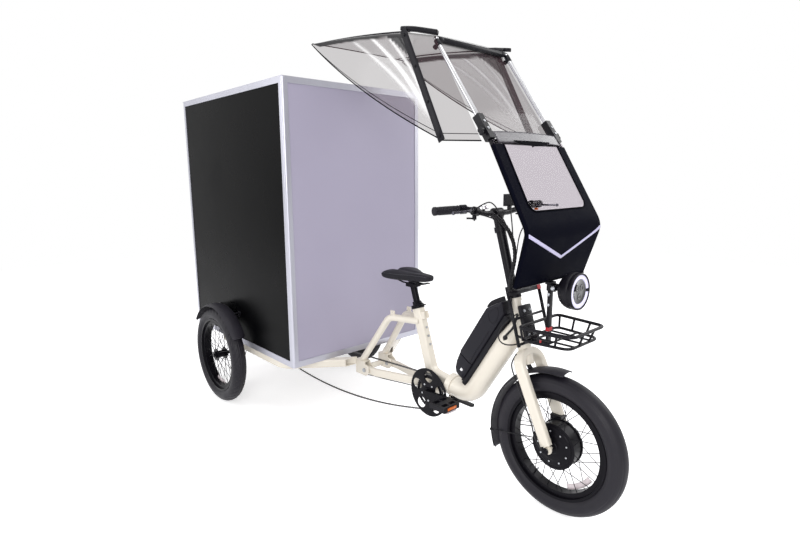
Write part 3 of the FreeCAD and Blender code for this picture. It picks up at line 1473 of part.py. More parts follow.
def basket_uprights():
    # The two bars that stand beside the head tube, their rungs, and the plate bolted to the head tube.
    half = upright_width / 2
    stand_off = head_radius + 28.0
    low = head_point(head_low + 26.0, stand_off)
    high = head_point(head_low + 176.0, stand_off)
    uprights = []
    for side in (-1, 1):
        uprights.append(rod(low + axis_y * (side * half), high + axis_y * (side * half), basket_wire + 2.0))
    rungs = []
    for share in (0.06, 0.5, 0.9):
        at = low + (high - low) * share
        rungs.append(trimmed(rod(at - axis_y * half, at + axis_y * half, basket_wire), uprights))
    plate_at = head_point(head_low + 92.0, head_radius + 7.0)
    corners = []
    for y, up in ((-34.0, -34.0), (34.0, -34.0), (34.0, 34.0), (-34.0, 34.0)):
        corners.append(plate_at + axis_y * y + head_up * up)
    depth = stand_off - basket_wire - seat_gap - head_radius - 7.0
    return uprights, rungs, prism(corners, head_forward * depth)


post_foot_z = basket_top_z - basket_depth - 30.0


def front_basket():
    # Wire tray on the uprights, and the flat post that carries lamp and fairing.
    low_z = basket_top_z - basket_depth
    order = ((0, -1), (1, -1), (1, 1), (0, 1))
    top = [basket_corner(f, s, basket_top_z) for f, s in order]
    inset = 18.0
    floor = []
    for f, s in order:
        corner = basket_corner(f, s, low_z)
        floor.append(Vec(corner.x - (inset if f else -inset * 0.3), corner.y - s * inset * 0.5, low_z))
    rim_wires = wire_loop(top, basket_wire + 1.0)
    floor_wires = wire_loop(floor, basket_wire)
    pieces = rim_wires + floor_wires
    for k in range(4):
        for share in (0.04, 0.35, 0.65):
            a = top[k] + (top[(k + 1) % 4] - top[k]) * share
            b = floor[k] + (floor[(k + 1) % 4] - floor[k]) * share
            pieces.append(trimmed(rod(a, b, basket_wire * 0.72), rim_wires + floor_wires))
    for k in range(basket_slats):
        share = (k + 1.0) / (basket_slats + 1.0)
        rear = floor[0] + (floor[3] - floor[0]) * share
        front = floor[1] + (floor[2] - floor[1]) * share
        pieces.append(trimmed(rod(rear, front, basket_wire * 0.72), floor_wires))
    uprights, rungs, plate = basket_uprights()
    half = upright_width / 2
    for side in (-1, 1):
        tie = head_point(head_low + 60.0, head_radius + 28.0, side * half)
        foot = Vec(floor[0].x, side * half, low_z)
        pieces.append(trimmed(rod(tie, foot, basket_wire * 0.7), uprights + floor_wires))
    post = block(post_bar_x - 5.0, post_bar_x + 5.0, -12.0, 12.0, post_foot_z, fairing_low_z - shield_rail_radius)
    low_rung = head_point(head_low + 35.0, head_radius + 28.0)
    arm = block(low_rung.x, post_bar_x + 5.0, -14.0, 14.0, post_foot_z - 6.0, post_foot_z + 6.0)
    cheeks = []
    for y in (-20.0, 12.0):
        cheeks.append(block(post_bar_x - 5.0, light_pivot.x + 9.0, y, y + 8.0, light_z - 12.0, light_z + 12.0))
    pin = rod(light_pivot - axis_y * 20.0, light_pivot + axis_y * 20.0, 5.0)
    lamp_post = fused([post.cut(arm)] + cheeks + [pin])
    return Part.makeCompound(pieces + uprights + rungs + [plate, trimmed(arm, rungs), lamp_post])


light_pivot = Vec(post_bar_x + 22.0, 0, light_z)


def headlight():
    # Round shell with a deep rim and a lug between the post's cheeks.
    rear_x = light_front_x - light_depth
    shell_outline = [
        (0, 0), (0, light_radius * 0.62), (14.0, light_radius * 0.9), (30.0, light_radius), (light_depth, light_radius),
        (light_depth, light_radius - 5.0), (light_depth - 8.0, light_radius - 5.0), (light_depth - 8.0, 0),
    ]
    points = [Vec(x, 0, r) for x, r in shell_outline]
    body = Part.Face(Part.makePolygon(points + [points[0]])).revolve(Vec(0, 0, 0), axis_x, 360)
    body.translate(Vec(rear_x, 0, light_z))
    lug = block(light_pivot.x - 9.0, rear_x + 6.0, -12.0 + moving_gap, 12.0 - moving_gap, light_z - 9.0, light_z + 9.0)
    hole = rod(light_pivot - axis_y * 30.0, light_pivot + axis_y * 30.0, 5.0 + running_gap)
    return fused([body, lug]).cut(hole)


def headlight_lens():
    face = Vec(light_front_x - 8.0, 0, light_z)
    return Part.makeCylinder(light_radius - 5.0, 7.0, face, axis_x)


fairing_low = Vec(fairing_low_x, 0, fairing_low_z)
fairing_bend = Vec(fairing_bend_x, 0, fairing_bend_z)
shield_top = Vec(shield_top_x, 0, shield_top_z)
shield_up = (shield_top - fairing_bend).normalize()
shield_out = Vec(shield_up.z, 0, -shield_up.x)
skirt_up = (fairing_bend - fairing_low).normalize()
skirt_out = Vec(skirt_up.z, 0, -skirt_up.x)


def trapezoid(low, low_width, high, high_width, out, depth, trim=0.0):
    # A flat plate between two level edges, pushed out along a normal.
    points = [
        low - axis_y * (low_width / 2 - trim), low + axis_y * (low_width / 2 - trim),
        high + axis_y * (high_width / 2 - trim), high - axis_y * (high_width / 2 - trim),
    ]
    return prism(points, out * depth)


def windshield_panel():
    return trapezoid(fairing_bend + shield_up * 20.0, fairing_bend_width, shield_top, shield_top_width, shield_out,
                     shield_thickness, 2.0)


def fairing():
    # The dark cover: a border round the window, and the skirt below the bend.
    base = shield_out * (shield_thickness + seat_gap)
    border = trapezoid(fairing_bend + base, fairing_bend_width, shield_top + base - shield_up * 20.0, shield_top_width,
                       shield_out, fairing_thickness)
    sill = fairing_bend + shield_up * 66.0 + base
    lintel = shield_top + base - shield_up * 20.0 + shield_up * 1.0
    hole = trapezoid(sill - shield_out * 2.0, fairing_bend_width, lintel - shield_out * 2.0, shield_top_width,
                     shield_out, fairing_thickness + 4.0, window_border)
    edges = [e for e in hole.Edges if abs(e.Length - fairing_thickness - 4.0) < 0.01]
    lower = sorted(edges, key=lambda e: e.CenterOfMass.z)[:2]
    border = border.cut(hole.makeFillet(34.0, lower))
    skirt_base = skirt_out * (shield_rail_radius + seat_gap)
    skirt = trapezoid(fairing_low + skirt_base, fairing_low_width, fairing_bend + skirt_base, fairing_bend_width,
                      skirt_out, fairing_thickness)
    roll = rod(fairing_bend + skirt_base - axis_y * (fairing_bend_width / 2),
               fairing_bend + skirt_base + axis_y * (fairing_bend_width / 2), fairing_thickness + 4.0)
    rail = windshield_rails()
    body = fused([border, skirt, roll]).cut(rail).cut(windshield_panel())
    return max(body.Solids, key=lambda s: s.Volume)


def rail_points(side):
    inset = shield_rail_radius
    return [
        shield_top + axis_y * (side * (shield_top_width / 2 - inset)) - shield_out * inset,
        fairing_bend + axis_y * (side * (fairing_bend_width / 2 - inset)) - shield_out * inset,
        fairing_low + axis_y * (side * (fairing_low_width / 2 - inset)),
    ]


def windshield_rails():
    # Bent side rails, the top visor bar and the bottom bar that sits on the post.
    left = rail_points(1)
    right = rail_points(-1)
    pieces = [bent_rod(left, 40.0, shield_rail_radius), bent_rod(right, 40.0, shield_rail_radius)]
    for a, b in ((left[2], right[2]), (left[0], right[0])):
        pieces.append(rod(a, b, shield_rail_radius))
        pieces.append(Part.makeSphere(shield_rail_radius, a))
        pieces.append(Part.makeSphere(shield_rail_radius, b))
    return fused(pieces)


canopy_front = Vec(canopy_front_x, 0, canopy_front_z)
canopy_front_width = shield_top_width - 2 * shield_rail_radius
tube_low = rail_points(1)[0]
tube_foot = tube_low - axis_y * tube_low.y
tube_up = (canopy_front - tube_foot).normalize()
tube_out = Vec(tube_up.z, 0, -tube_up.x)
clamp_y = tube_low.y
clamp_length = 104.0
clamp_half = canopy_tube_radius + 6.0
hood_lift = canopy_tube_radius + seat_gap + sheet_thickness


def tube_line(side):
    # The canopy tube's two ends on one side.
    low = tube_foot + tube_up * 14.0 + axis_y * (side * clamp_y)
    high = canopy_front + axis_y * (side * (canopy_front_width / 2))
    return low, high


def windshield_frame():
    # The rails with a split clamp and a knob for each canopy tube.
    rails = windshield_rails()
    clamps = []
    for side in (-1, 1):
        low, high = tube_line(side)
        up = (high - low).normalize()
        ahead = up.cross(axis_y) * -1
        if ahead.x < 0:
            ahead = ahead * -1
        centre = low - up * 8.0
        points = []
        for a, b in ((-1, -1), (1, -1), (1, 1), (-1, 1)):
            points.append(centre + ahead * (a * clamp_half) + axis_y * (b * clamp_half))
        jaw = prism(points, up * clamp_length)
        bore = rod(low - up * (moving_gap + 2.0), high, canopy_tube_radius + running_gap)
        knob_at = centre + up * 40.0 + axis_y * (side * clamp_half)
        knob = rod(knob_at, knob_at + axis_y * (side * 16.0), 11.0)
        clamps.append(fused([jaw, knob]).cut(bore))
    return fused([rails] + clamps)


def canopy_tubes():
    # Two straight tubes and the header bar between their tops.
    pieces = []
    for side in (-1, 1):
        low, high = tube_line(side)
        pieces.append(rod(low, high, canopy_tube_radius))
        pieces.append(Part.makeSphere(canopy_tube_radius, high))
    left = tube_line(1)[1]
    right = tube_line(-1)[1]
    return fused(pieces + [rod(right, left, canopy_tube_radius)])


def hood_rows():
    # The hood's cross lines from the rear edge to the tubes: roof line, its width, hem line, its width.
    front_low = tube_foot + tube_up * (clamp_length + 14.0)
    ahead = tube_out * (hood_lift + 1.0)
    return (
        (Vec(canopy_rear_x, 0, canopy_rear_z), canopy_rear_width,
         Vec(canopy_rear_x, 0, canopy_rear_z - 6.0), canopy_rear_width),
        (Vec(canopy_mid_x, 0, canopy_mid_z), (canopy_rear_width + canopy_band_width) / 2,
         Vec(canopy_hem_x, 0, canopy_hem_z), canopy_low_width),
        (Vec(canopy_band_x, 0, canopy_band_z + hood_lift - 8.0), canopy_band_width,
         Vec(canopy_low_x, 0, canopy_low_z), canopy_low_width),
        (canopy_front + ahead + axis_z * 2.0, canopy_front_width + 2 * hood_lift + 2.0,
         front_low + ahead, clamp_y * 2 + 2 * hood_lift + 2.0),
    )


def canopy_sheet():
    # The clear hood over the rider: folded roof and sides, and the upper windshield between the tubes.
    rows = hood_rows()
    pieces = []
    for (top, top_width, low, low_width), (top2, top2_width, low2, low2_width) in zip(rows, rows[1:]):
        edge = axis_y * (top_width / 2)
        edge2 = axis_y * (top2_width / 2)
        pieces.append(prism([top - edge, top + edge, top2 + edge2, top2 - edge2], axis_z * -sheet_thickness))
        for side in (-1, 1):
            high = top + edge * side
            high2 = top2 + edge2 * side
            foot = low + axis_y * (side * low_width / 2)
            foot2 = low2 + axis_y * (side * low2_width / 2)
            inward = axis_y * (-side * sheet_thickness)
            pieces.append(prism([high, high2, foot2], inward))
            pieces.append(prism([high, foot2, foot], inward))
    hood = fused(pieces)
    base = tube_out * (canopy_tube_radius + seat_gap)
    lower = tube_foot + tube_up * (clamp_length + 14.0) + base
    upper = canopy_front + base
    pane = trapezoid(lower, clamp_y * 2, upper, canopy_front_width, tube_out, sheet_thickness, 4.0)
    return Part.makeCompound([hood, pane.cut(hood)])


def roof_plane(along, y, above):
    # A point over the hood's front slope: distance ahead of the side bands, to the left, and above it.
    back = Vec(canopy_band_x, 0, canopy_band_z + hood_lift - 8.0)
    front = canopy_front + tube_out * (hood_lift + 1.0) + axis_z * 2.0
    ahead = (front - back).normalize()
    normal = Vec(-ahead.z, 0, ahead.x)
    return back + ahead * along + normal * above + axis_y * y


def canopy_bands():
    # Flat side bands hung from a forked roof plate, and thin bows round the roof's edge.
    gap = seat_gap + 0.1
    side_gap = 3 * seat_gap
    outer = canopy_band_width / 2 + side_gap + band_thickness
    tip = canopy_front_width / 2
    outline = [(0, -outer), (band_width, -outer), (84.0, -tip - 14.0), (84.0, -tip + 14.0), (band_width, -tip - 16.0)]
    outline += [(a, -y) for a, y in reversed(outline)]
    fork_plate = prism([roof_plane(a, y, gap) for a, y in outline],
                       roof_plane(0, 0, band_thickness) - roof_plane(0, 0, 0))
    pieces = [fork_plate]
    for side in (-1, 1):
        top = Vec(canopy_band_x, side * (canopy_band_width / 2 + side_gap), canopy_band_z)
        low = Vec(canopy_low_x, side * (canopy_low_width / 2 + side_gap), canopy_low_z)
        down = (low - top).normalize()
        high = top - down * 8.0
        across = down.cross(axis_y) * (band_width / 2)
        pieces.append(prism([high + across, low + across, low - across, high - across],
                            axis_y * (side * band_thickness)))
    lift = axis_z * (bow_radius + gap)
    rear = Vec(canopy_rear_x + bow_radius, 0, canopy_rear_z) + lift
    middle = Vec(canopy_mid_x, 0, canopy_mid_z) + lift
    front = Vec(canopy_band_x + 4.0, 0, canopy_band_z + hood_lift - 8.0) + lift
    y = canopy_band_width / 2 - 8.0
    for side in (-1, 1):
        points = [p + axis_y * (side * y) for p in (rear, middle, front)]
        pieces.append(bent_rod(points, 300.0, bow_radius))
    pieces.append(rod(rear - axis_y * y, rear + axis_y * y, bow_radius))
    for side in (-1, 1):
        pieces.append(Part.makeSphere(bow_radius, rear + axis_y * (side * y)))
    return fused(pieces)


# Assembly

def export(name, shape):
    piece = shape.copy()
    piece.translate(axis_x * -centre_x)
    piece.exportStep("parts/" + name + ".step")
    solids = piece.Solids
    good = all(s.isValid() for s in solids)
    print(name, len(solids), "solids", round(piece.Volume / 1000.0, 1), "cm3", "valid" if good else "NOT VALID")


def build():
    os.makedirs("parts", exist_ok=True)
    nodes = {}
    nodes["front_tyre"] = tyre(front_axle)
    front_ring = rim(front_axle)
    nodes["hub_motor"] = hub_motor()
    wires = spokes(front_axle, motor_radius + 4.0, motor_width / 2 - 3.0, [front_ring, nodes["hub_motor"]])
    nodes["front_rim"] = Part.makeCompound([front_ring] + wires)
    nodes["front_brake_disc"] = front_disc()
    nodes["rear_right_tyre"], nodes["rear_right_wheel"] = rear_wheel(-1)
    nodes["rear_left_tyre"], nodes["rear_left_wheel"] = rear_wheel(1)

    nodes["fork"] = fork()
    nodes["steering_post"] = steering_post()
    nodes["handlebar"] = handlebar()
    nodes["grips"] = grips()
    nodes["control_housings"] = control_housings()
    nodes["right_brake_lever"] = brake_lever(-1)
    nodes["left_brake_lever"] = brake_lever(1)
    nodes["shift_lever"] = thumb_lever(shift_hub, -1)
    nodes["throttle_lever"] = thumb_lever(throttle_hub, 1)
    nodes["front_fender"] = front_fender_set(nodes["fork"])
    nodes["brake_caliper"] = brake_caliper(nodes["fork"])
    nodes["steering_cables"] = steering_cables()

    nodes["head_tube"] = head_tube()
    ear, pin = latch_ear()
    nodes["main_tube"] = main_tube(nodes["head_tube"])
    nodes["seat_tube"] = fused([seat_tube(), ear, pin]).cut(nodes["main_tube"])
    nodes["frame_latch_lever"] = frame_latch_lever()
    nodes["lower_stays"] = lower_stays(nodes["seat_tube"])
    nodes["upper_arms"] = upper_arms(nodes["seat_tube"])
    nodes["pivot_brackets"] = pivot_brackets()
    nodes["rear_arms"] = rear_arms()
    nodes["axle_beam"] = axle_beam()
    nodes["drive_housing"] = drive_housing()
    nodes["axle_bearings"] = axle_bearings()
    nodes["frame_bolts"] = frame_bolts()
    nodes["frame_cables"] = frame_cables()

    nodes["chain"] = chain()
    nodes["chainring"] = chainring()
    nodes["crank_arms"] = crank_arms()
    nodes["right_pedal"] = pedal(-1)
    nodes["left_pedal"] = pedal(1)
    nodes["cassette"] = cassette()
    nodes["derailleur"] = derailleur()

    nodes["seatpost"] = seatpost()
    nodes["saddle"] = saddle()
    nodes["battery"] = battery()
    nodes["battery_tray"] = battery_tray(nodes["main_tube"])

    nodes["box_frame"] = box_frame()
    nodes["box_side_panels"] = box_side_panels()
    nodes["box_pale_panels"] = box_pale_panels()
    nodes["box_floor"] = box_floor()
    nodes["rear_door"] = rear_door()
    nodes["door_handle"] = door_handle()
    nodes["rear_fenders"] = rear_fenders()

    nodes["front_basket"] = front_basket()
    nodes["headlight"] = headlight()
    nodes["headlight_lens"] = headlight_lens()
    nodes["windshield_panel"] = windshield_panel()
    nodes["fairing"] = fairing()
    nodes["windshield_frame"] = windshield_frame()
    nodes["canopy_tubes"] = canopy_tubes()
    nodes["canopy_sheet"] = canopy_sheet()
    nodes["canopy_bands"] = canopy_bands()
    for name, shape in nodes.items():
        export(name, shape)


build()
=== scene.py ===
import math
import bmesh
import bpy
import numpy as np
from mathutils import Matrix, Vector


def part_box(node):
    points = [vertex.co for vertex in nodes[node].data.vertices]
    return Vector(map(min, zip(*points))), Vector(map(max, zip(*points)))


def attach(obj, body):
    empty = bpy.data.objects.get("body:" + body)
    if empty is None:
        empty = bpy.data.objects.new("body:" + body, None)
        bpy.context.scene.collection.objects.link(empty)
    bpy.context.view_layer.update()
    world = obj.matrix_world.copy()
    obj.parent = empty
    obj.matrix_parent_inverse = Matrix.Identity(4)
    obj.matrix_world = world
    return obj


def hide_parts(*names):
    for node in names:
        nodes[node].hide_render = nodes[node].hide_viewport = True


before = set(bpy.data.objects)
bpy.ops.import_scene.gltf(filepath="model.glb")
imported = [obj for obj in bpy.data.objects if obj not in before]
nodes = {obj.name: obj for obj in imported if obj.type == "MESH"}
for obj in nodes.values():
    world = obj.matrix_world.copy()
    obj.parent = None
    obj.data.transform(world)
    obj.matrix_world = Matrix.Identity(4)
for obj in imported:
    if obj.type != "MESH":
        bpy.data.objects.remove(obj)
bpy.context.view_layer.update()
print("frame loaded,", len(nodes), "nodes")

midLength = 824.0  # mm from the rear axle to the middle of the part's length


def toFrame(place):
    # millimetres from the rear axle, as the part is drawn, to metres in the shared frame
    return (np.asarray(place, float) - (midLength, 0.0, 0.0)) / 1000.0


def at(x, y, z):
    # the same for three coordinates, each a number or an array
    return toFrame(np.stack(np.broadcast_arrays(x, y, z), -1))


def unit(v):
    # a vector brought to length 1
    return np.asarray(v, float) / np.linalg.norm(v)


def units(rows):
    # each row of an array brought to length 1
    return rows / np.linalg.norm(rows, axis=-1, keepdims=True)


def turnSteps(count):
    # equal steps of angle round a full turn
    return np.linspace(0, 2 * np.pi, count, endpoint=False)


def polar(radius, angle):
    # points at a radius and an angle in a plane
    return np.stack(np.broadcast_arrays(radius * np.cos(angle), radius * np.sin(angle)), -1)


def stepLengths(line):
    # distance from each point of a line to the next
    return np.linalg.norm(np.diff(line, axis=0), axis=-1)


photoView = {
    "place": (2.04460, -1.69759, 1.28423),
    "right": (0.673672, 0.739002, -0.006548),
    "up": (-0.121801, 0.119764, 0.985303),
    "ahead": (-0.728925, 0.662973, -0.170693),
    "lens": 23.84,  # mm, on a sensor this wide
    "sensor": 36.0,
}

cameraData = bpy.data.cameras.new("photoCamera")
cameraData.lens = photoView["lens"]
cameraData.sensor_width = photoView["sensor"]
cameraData.clip_end = 60.0
camera = bpy.data.objects.new("photoCamera", cameraData)
bpy.context.scene.collection.objects.link(camera)
columns = np.array([photoView["right"], photoView["up"], -np.array(photoView["ahead"])]).T
turned = Matrix(columns.tolist()).to_4x4()
turned.translation = photoView["place"]
camera.matrix_world = turned
bpy.context.scene.camera = camera
bpy.context.scene.view_settings.view_transform = "Standard"


def hexLinear(code):
    # sRGB hex to linear colour
    raw = np.array([int(code[k:k + 2], 16) for k in (1, 3, 5)]) / 255.0
    linear = np.where(raw <= 0.04045, raw / 12.92, ((raw + 0.055) / 1.055) ** 2.4)
    return (*[float(c) for c in linear], 1.0)


def addNode(tree, kind, settings=None, **inputs):
    # a node with its settings; an input is a value, or a socket to link from
    made = tree.nodes.new(kind)
    for key, value in (settings or {}).items():
        setattr(made, key, value)
    for key, value in inputs.items():
        name = int(key[1:]) if key[0] == "i" and key[1:].isdigit() else key.replace("_", " ")
        socket = made.inputs[name]
        if isinstance(value, bpy.types.NodeSocket):
            tree.links.new(value, socket)
        else:
            socket.default_value = value
    return made


studio = {
    "floorSize": 14.0, "floorTone": "#ECECEE", "floorLift": 0.58, "ambient": 0.62,
    "lamps": (
        # name, place, aim, size, watts
        ("keyLamp", (3.3, -3.3, 2.3), (0.2, 0.0, 0.6), 2.4, 108.0),
        ("fillLamp", (-2.6, -4.2, 2.4), (-0.3, 0.0, 0.9), 2.8, 70.0),
        ("farLamp", (2.2, 3.8, 3.2), (0.3, 0.0, 0.8), 2.6, 80.0),
        ("topLamp", (0.2, 0.0, 5.0), (0.2, 0.0, 0.0), 3.6, 102.0),
    ),
}

for name, place, aim, size, watts in studio["lamps"]:
    lampData = bpy.data.lights.new(name, "AREA")
    lampData.size = size
    lampData.energy = watts
    lamp = bpy.data.objects.new(name, lampData)
    lamp.location = place
    back = unit(np.array(place) - np.array(aim))
    side = unit(np.cross((0.0, 1.0, 0.001), back))
    turnLamp = Matrix(np.array([side, np.cross(back, side), back]).T.tolist()).to_4x4()
    turnLamp.translation = place
    lamp.matrix_world = turnLamp
    bpy.context.scene.collection.objects.link(lamp)


def whiteRays(tree):
    # 1 for the rays that show the plain background: camera, transmission and glossy
    path = addNode(tree, "ShaderNodeLightPath")
    straight = addNode(tree, "ShaderNodeMath", {"operation": "MAXIMUM"}, i0=path.outputs["Is Camera Ray"],
                       i1=path.outputs["Is Transmission Ray"])
    both = addNode(tree, "ShaderNodeMath", {"operation": "MAXIMUM"}, i0=straight.outputs[0],
                   i1=path.outputs["Is Glossy Ray"])
    return both.outputs[0]


world = bpy.data.worlds.new("studioWorld")
bpy.context.scene.world = world
world.use_nodes = True
tree = world.node_tree
tree.nodes.clear()
level = addNode(tree, "ShaderNodeMapRange", Value=whiteRays(tree), To_Min=studio["ambient"], To_Max=1.0)
backdrop = addNode(tree, "ShaderNodeBackground", Color=hexLinear("#FFFFFF"), Strength=level.outputs[0])
addNode(tree, "ShaderNodeOutputWorld", Surface=backdrop.outputs[0])

half = studio["floorSize"] / 2
floorMesh = bpy.data.meshes.new("studioFloor")
floorMesh.from_pydata([(-half, -half, 0), (half, -half, 0), (half, half, 0), (-half, half, 0)], [], [(0, 1, 2, 3)])
floor = bpy.data.objects.new("studioFloor", floorMesh)
bpy.context.scene.collection.objects.link(floor)
floorPaper = bpy.data.materials.new("matt paper sweep")
floorPaper.use_nodes = True
tree = floorPaper.node_tree
tree.nodes.clear()
lift = addNode(tree, "ShaderNodeMath", {"operation": "MULTIPLY"}, i0=whiteRays(tree), i1=studio["floorLift"])
glow = addNode(tree, "ShaderNodeEmission", Color=hexLinear("#FFFFFF"), Strength=lift.outputs[0])
paper = addNode(tree, "ShaderNodeBsdfDiffuse", Color=hexLinear(studio["floorTone"]))
both = addNode(tree, "ShaderNodeAddShader", i0=paper.outputs[0], i1=glow.outputs[0])
addNode(tree, "ShaderNodeOutputMaterial", Surface=both.outputs[0])
floorMesh.materials.append(floorPaper)
print("camera and studio set")


def surface(name, colour, roughness, metallic=0.0, grainMm=1.5, grainDepth=0.15, mottleMm=60.0, mottle=0.06,
            spread=0.06, stretch=(1, 1, 1), coat=0.0, specular=0.5, ior=1.5, alpha=1.0):
    # one finish: colour that drifts over mottleMm, roughness that drifts by spread, and a relief of
    # grainMm drawn grainDepth mm deep; stretch makes either run along an axis
    made = bpy.data.materials.new(name)
    made.use_nodes = True
    tree = made.node_tree
    shader = tree.nodes["Principled BSDF"]
    coord = addNode(tree, "ShaderNodeTexCoord")
    placed = addNode(tree, "ShaderNodeMapping", Vector=coord.outputs["Object"], Scale=stretch)
    drift = addNode(tree, "ShaderNodeTexNoise", Vector=placed.outputs[0], Scale=1000.0 / mottleMm, Detail=3.0)
    grain = addNode(tree, "ShaderNodeTexNoise", Vector=placed.outputs[0], Scale=1000.0 / grainMm, Detail=2.0)
    base = np.array(hexLinear(colour))
    darker, lighter = base[:3] * (1 - mottle), np.minimum(base[:3] * (1 + mottle), 1)
    tint = addNode(tree, "ShaderNodeMix", {"data_type": "RGBA"}, Factor=drift.outputs["Fac"],
                   i6=tuple(np.append(darker, 1.0)), i7=tuple(np.append(lighter, 1.0)))
    tree.links.new(tint.outputs[2], shader.inputs["Base Color"])
    rough = addNode(tree, "ShaderNodeMapRange", Value=drift.outputs["Fac"], From_Min=0.3, From_Max=0.7,
                    To_Min=max(roughness - spread, 0.02), To_Max=min(roughness + spread, 1.0))
    tree.links.new(rough.outputs[0], shader.inputs["Roughness"])
    relief = addNode(tree, "ShaderNodeBump", Height=grain.outputs["Fac"], Strength=1.0,
                     Distance=grainDepth / 1000.0)
    tree.links.new(relief.outputs[0], shader.inputs["Normal"])
    plain = {"Metallic": metallic, "Specular IOR Level": specular, "Coat Weight": coat, "Coat Roughness": 0.12,
             "Alpha": alpha}
    for key, value in plain.items():
        shader.inputs[key].default_value = value
    if not metallic:
        shader.inputs["IOR"].default_value = ior
    return made


def shaderOf(made):
    # the main shader node of a finish
    return made.node_tree.nodes["Principled BSDF"]


# powder-coated steel: even cream with the soft orange peel of a baked coat
creamCoat = surface("powder-coated steel cream", "#DAD3C6", 0.34, grainMm=2.2, grainDepth=0.05, mottle=0.025,
                    coat=0.25)
# the same coat in satin black: broad dull highlights
blackCoat = surface("powder-coated steel satin black", "#100F14", 0.38, grainMm=1.8, grainDepth=0.06, mottle=0.12,
                    specular=0.16)
# anodised alloy rims and motor shell: dark with a tighter gleam than paint
blackAnodised = surface("anodised aluminium black", "#0F0E13", 0.34, metallic=0.2, grainMm=1.2, grainDepth=0.04,
                        mottle=0.1, specular=0.1)
# forged alloy levers: dark, with bright streaks where the light catches them
leverAlloy = surface("forged aluminium dark satin", "#4A4A52", 0.26, metallic=0.9, grainMm=1.2, grainDepth=0.04,
                     mottle=0.15)
# moulded polypropylene fenders: a lighter, chalky black
fenderPlastic = surface("moulded polypropylene black", "#232128", 0.50, grainMm=1.4, grainDepth=0.06, mottle=0.1,
                        specular=0.25)
# moulded tyre rubber: charcoal and dull, dusted in the mould pores
tyreRubber = surface("moulded tyre rubber charcoal", "#18161D", 0.52, grainMm=1.6, grainDepth=0.06, mottle=0.14,
                     specular=0.3, ior=1.45)
# zinc-plated and machined steel of chain, disc and bolts; strokes drawn 1.2 mm apart so that they show
brightSteel = surface("machined steel zinc plated", "#A9ABAF", 0.30, metallic=1.0, grainMm=1.2, grainDepth=0.04,
                      mottle=0.12)
chainSteel = surface("oiled chain steel", "#5B5A5A", 0.38, metallic=1.0, grainMm=1.4, grainDepth=0.05, mottle=0.25)
# extruded aluminium, satin anodised: draw lines along the length, drawn about 2 mm wide to show
boxAluminium = surface("extruded aluminium satin anodised", "#B4B4BE", 0.38, metallic=0.85, grainMm=2.0,
                       grainDepth=0.02, mottle=0.05, stretch=(0.12, 1, 0.12))
brightTube = surface("drawn aluminium tube bright", "#C9C9CC", 0.22, metallic=1.0, grainMm=2.0, grainDepth=0.02,
                     mottle=0.05)
# aluminium composite sheet, black gloss lacquer: deep black, faint rolling waviness
blackSheet = surface("aluminium composite black lacquer", "#020203", 0.30, grainMm=90.0, grainDepth=0.2,
                     mottleMm=300.0, mottle=0.2, specular=0.3, ior=1.15)
# the same sheet in pale lavender grey: soft broad sheen
paleSheet = surface("aluminium composite pale grey lacquer", "#9D98AB", 0.36, grainMm=90.0, grainDepth=0.2,
                    mottleMm=400.0, mottle=0.03, specular=0.4)
# phenolic film-faced plywood floor: brown film with a wire-mesh print, print drawn 6 mm wide
filmPly = surface("film-faced birch plywood", "#4A3424", 0.5, grainMm=6.0, grainDepth=0.2, mottleMm=25.0,
                  mottle=0.25, stretch=(0.25, 1, 1))
# moulded ABS and nylon: fine spark-eroded grain, dull
mouldedBlack = surface("moulded ABS black", "#111016", 0.42, grainMm=1.1, grainDepth=0.06, mottle=0.08,
                       specular=0.16)
batteryShell = surface("moulded ABS charcoal battery shell", "#15141C", 0.36, grainMm=1.0, grainDepth=0.04,
                       mottle=0.06, specular=0.18)
gripRubber = surface("moulded thermoplastic rubber", "#18171D", 0.58, grainMm=1.2, grainDepth=0.1, mottle=0.1,
                     specular=0.2)
hoseSkin = surface("extruded PVC cable jacket", "#100F13", 0.42, grainMm=2.0, grainDepth=0.03, mottle=0.1,
                   specular=0.25)
# coated saddle cover: fine pebble over soft foam
saddleCover = surface("coated saddle cover pebbled", "#18171D", 0.56, grainMm=2.2, grainDepth=0.25, mottle=0.12,
                      specular=0.18)
saddleThread = surface("bonded polyester thread", "#3A3A40", 0.6, grainMm=1.0, grainDepth=0.1)
# retroreflective tape: pale lavender, bead sheen
reflectTape = surface("retroreflective tape pale", "#B8B3D6", 0.35, grainMm=1.5, grainDepth=0.12, mottle=0.05,
                      coat=0.4)
chrome = surface("chromed brass", "#E4E4E6", 0.07, metallic=1.0, grainMm=8.0, grainDepth=0.01, mottle=0.02,
                 spread=0.03)
amberLens = surface("moulded acrylic amber reflector", "#D9690F", 0.2, grainMm=2.5, grainDepth=0.4, mottle=0.1,
                    coat=0.5)
whiteLens = surface("moulded acrylic white reflector", "#CBC0C3", 0.2, grainMm=2.5, grainDepth=0.4, mottle=0.05,
                    coat=0.5)
redTag = surface("moulded nylon red", "#B3202A", 0.4, grainMm=1.5, grainDepth=0.05)
displayGlass = surface("hard-coated display glass", "#0B0C10", 0.08, grainMm=30.0, grainDepth=0.01, mottle=0.05,
                       coat=0.6)
# LED ring behind an opal cover: even pale glow
ringLight = surface("opal polycarbonate ring light", "#D6D3EE", 0.35, grainMm=3.0, grainDepth=0.05, mottle=0.03)
shaderOf(ringLight).inputs["Emission Color"].default_value = hexLinear("#D9D6F2")
shaderOf(ringLight).inputs["Emission Strength"].default_value = 0.22
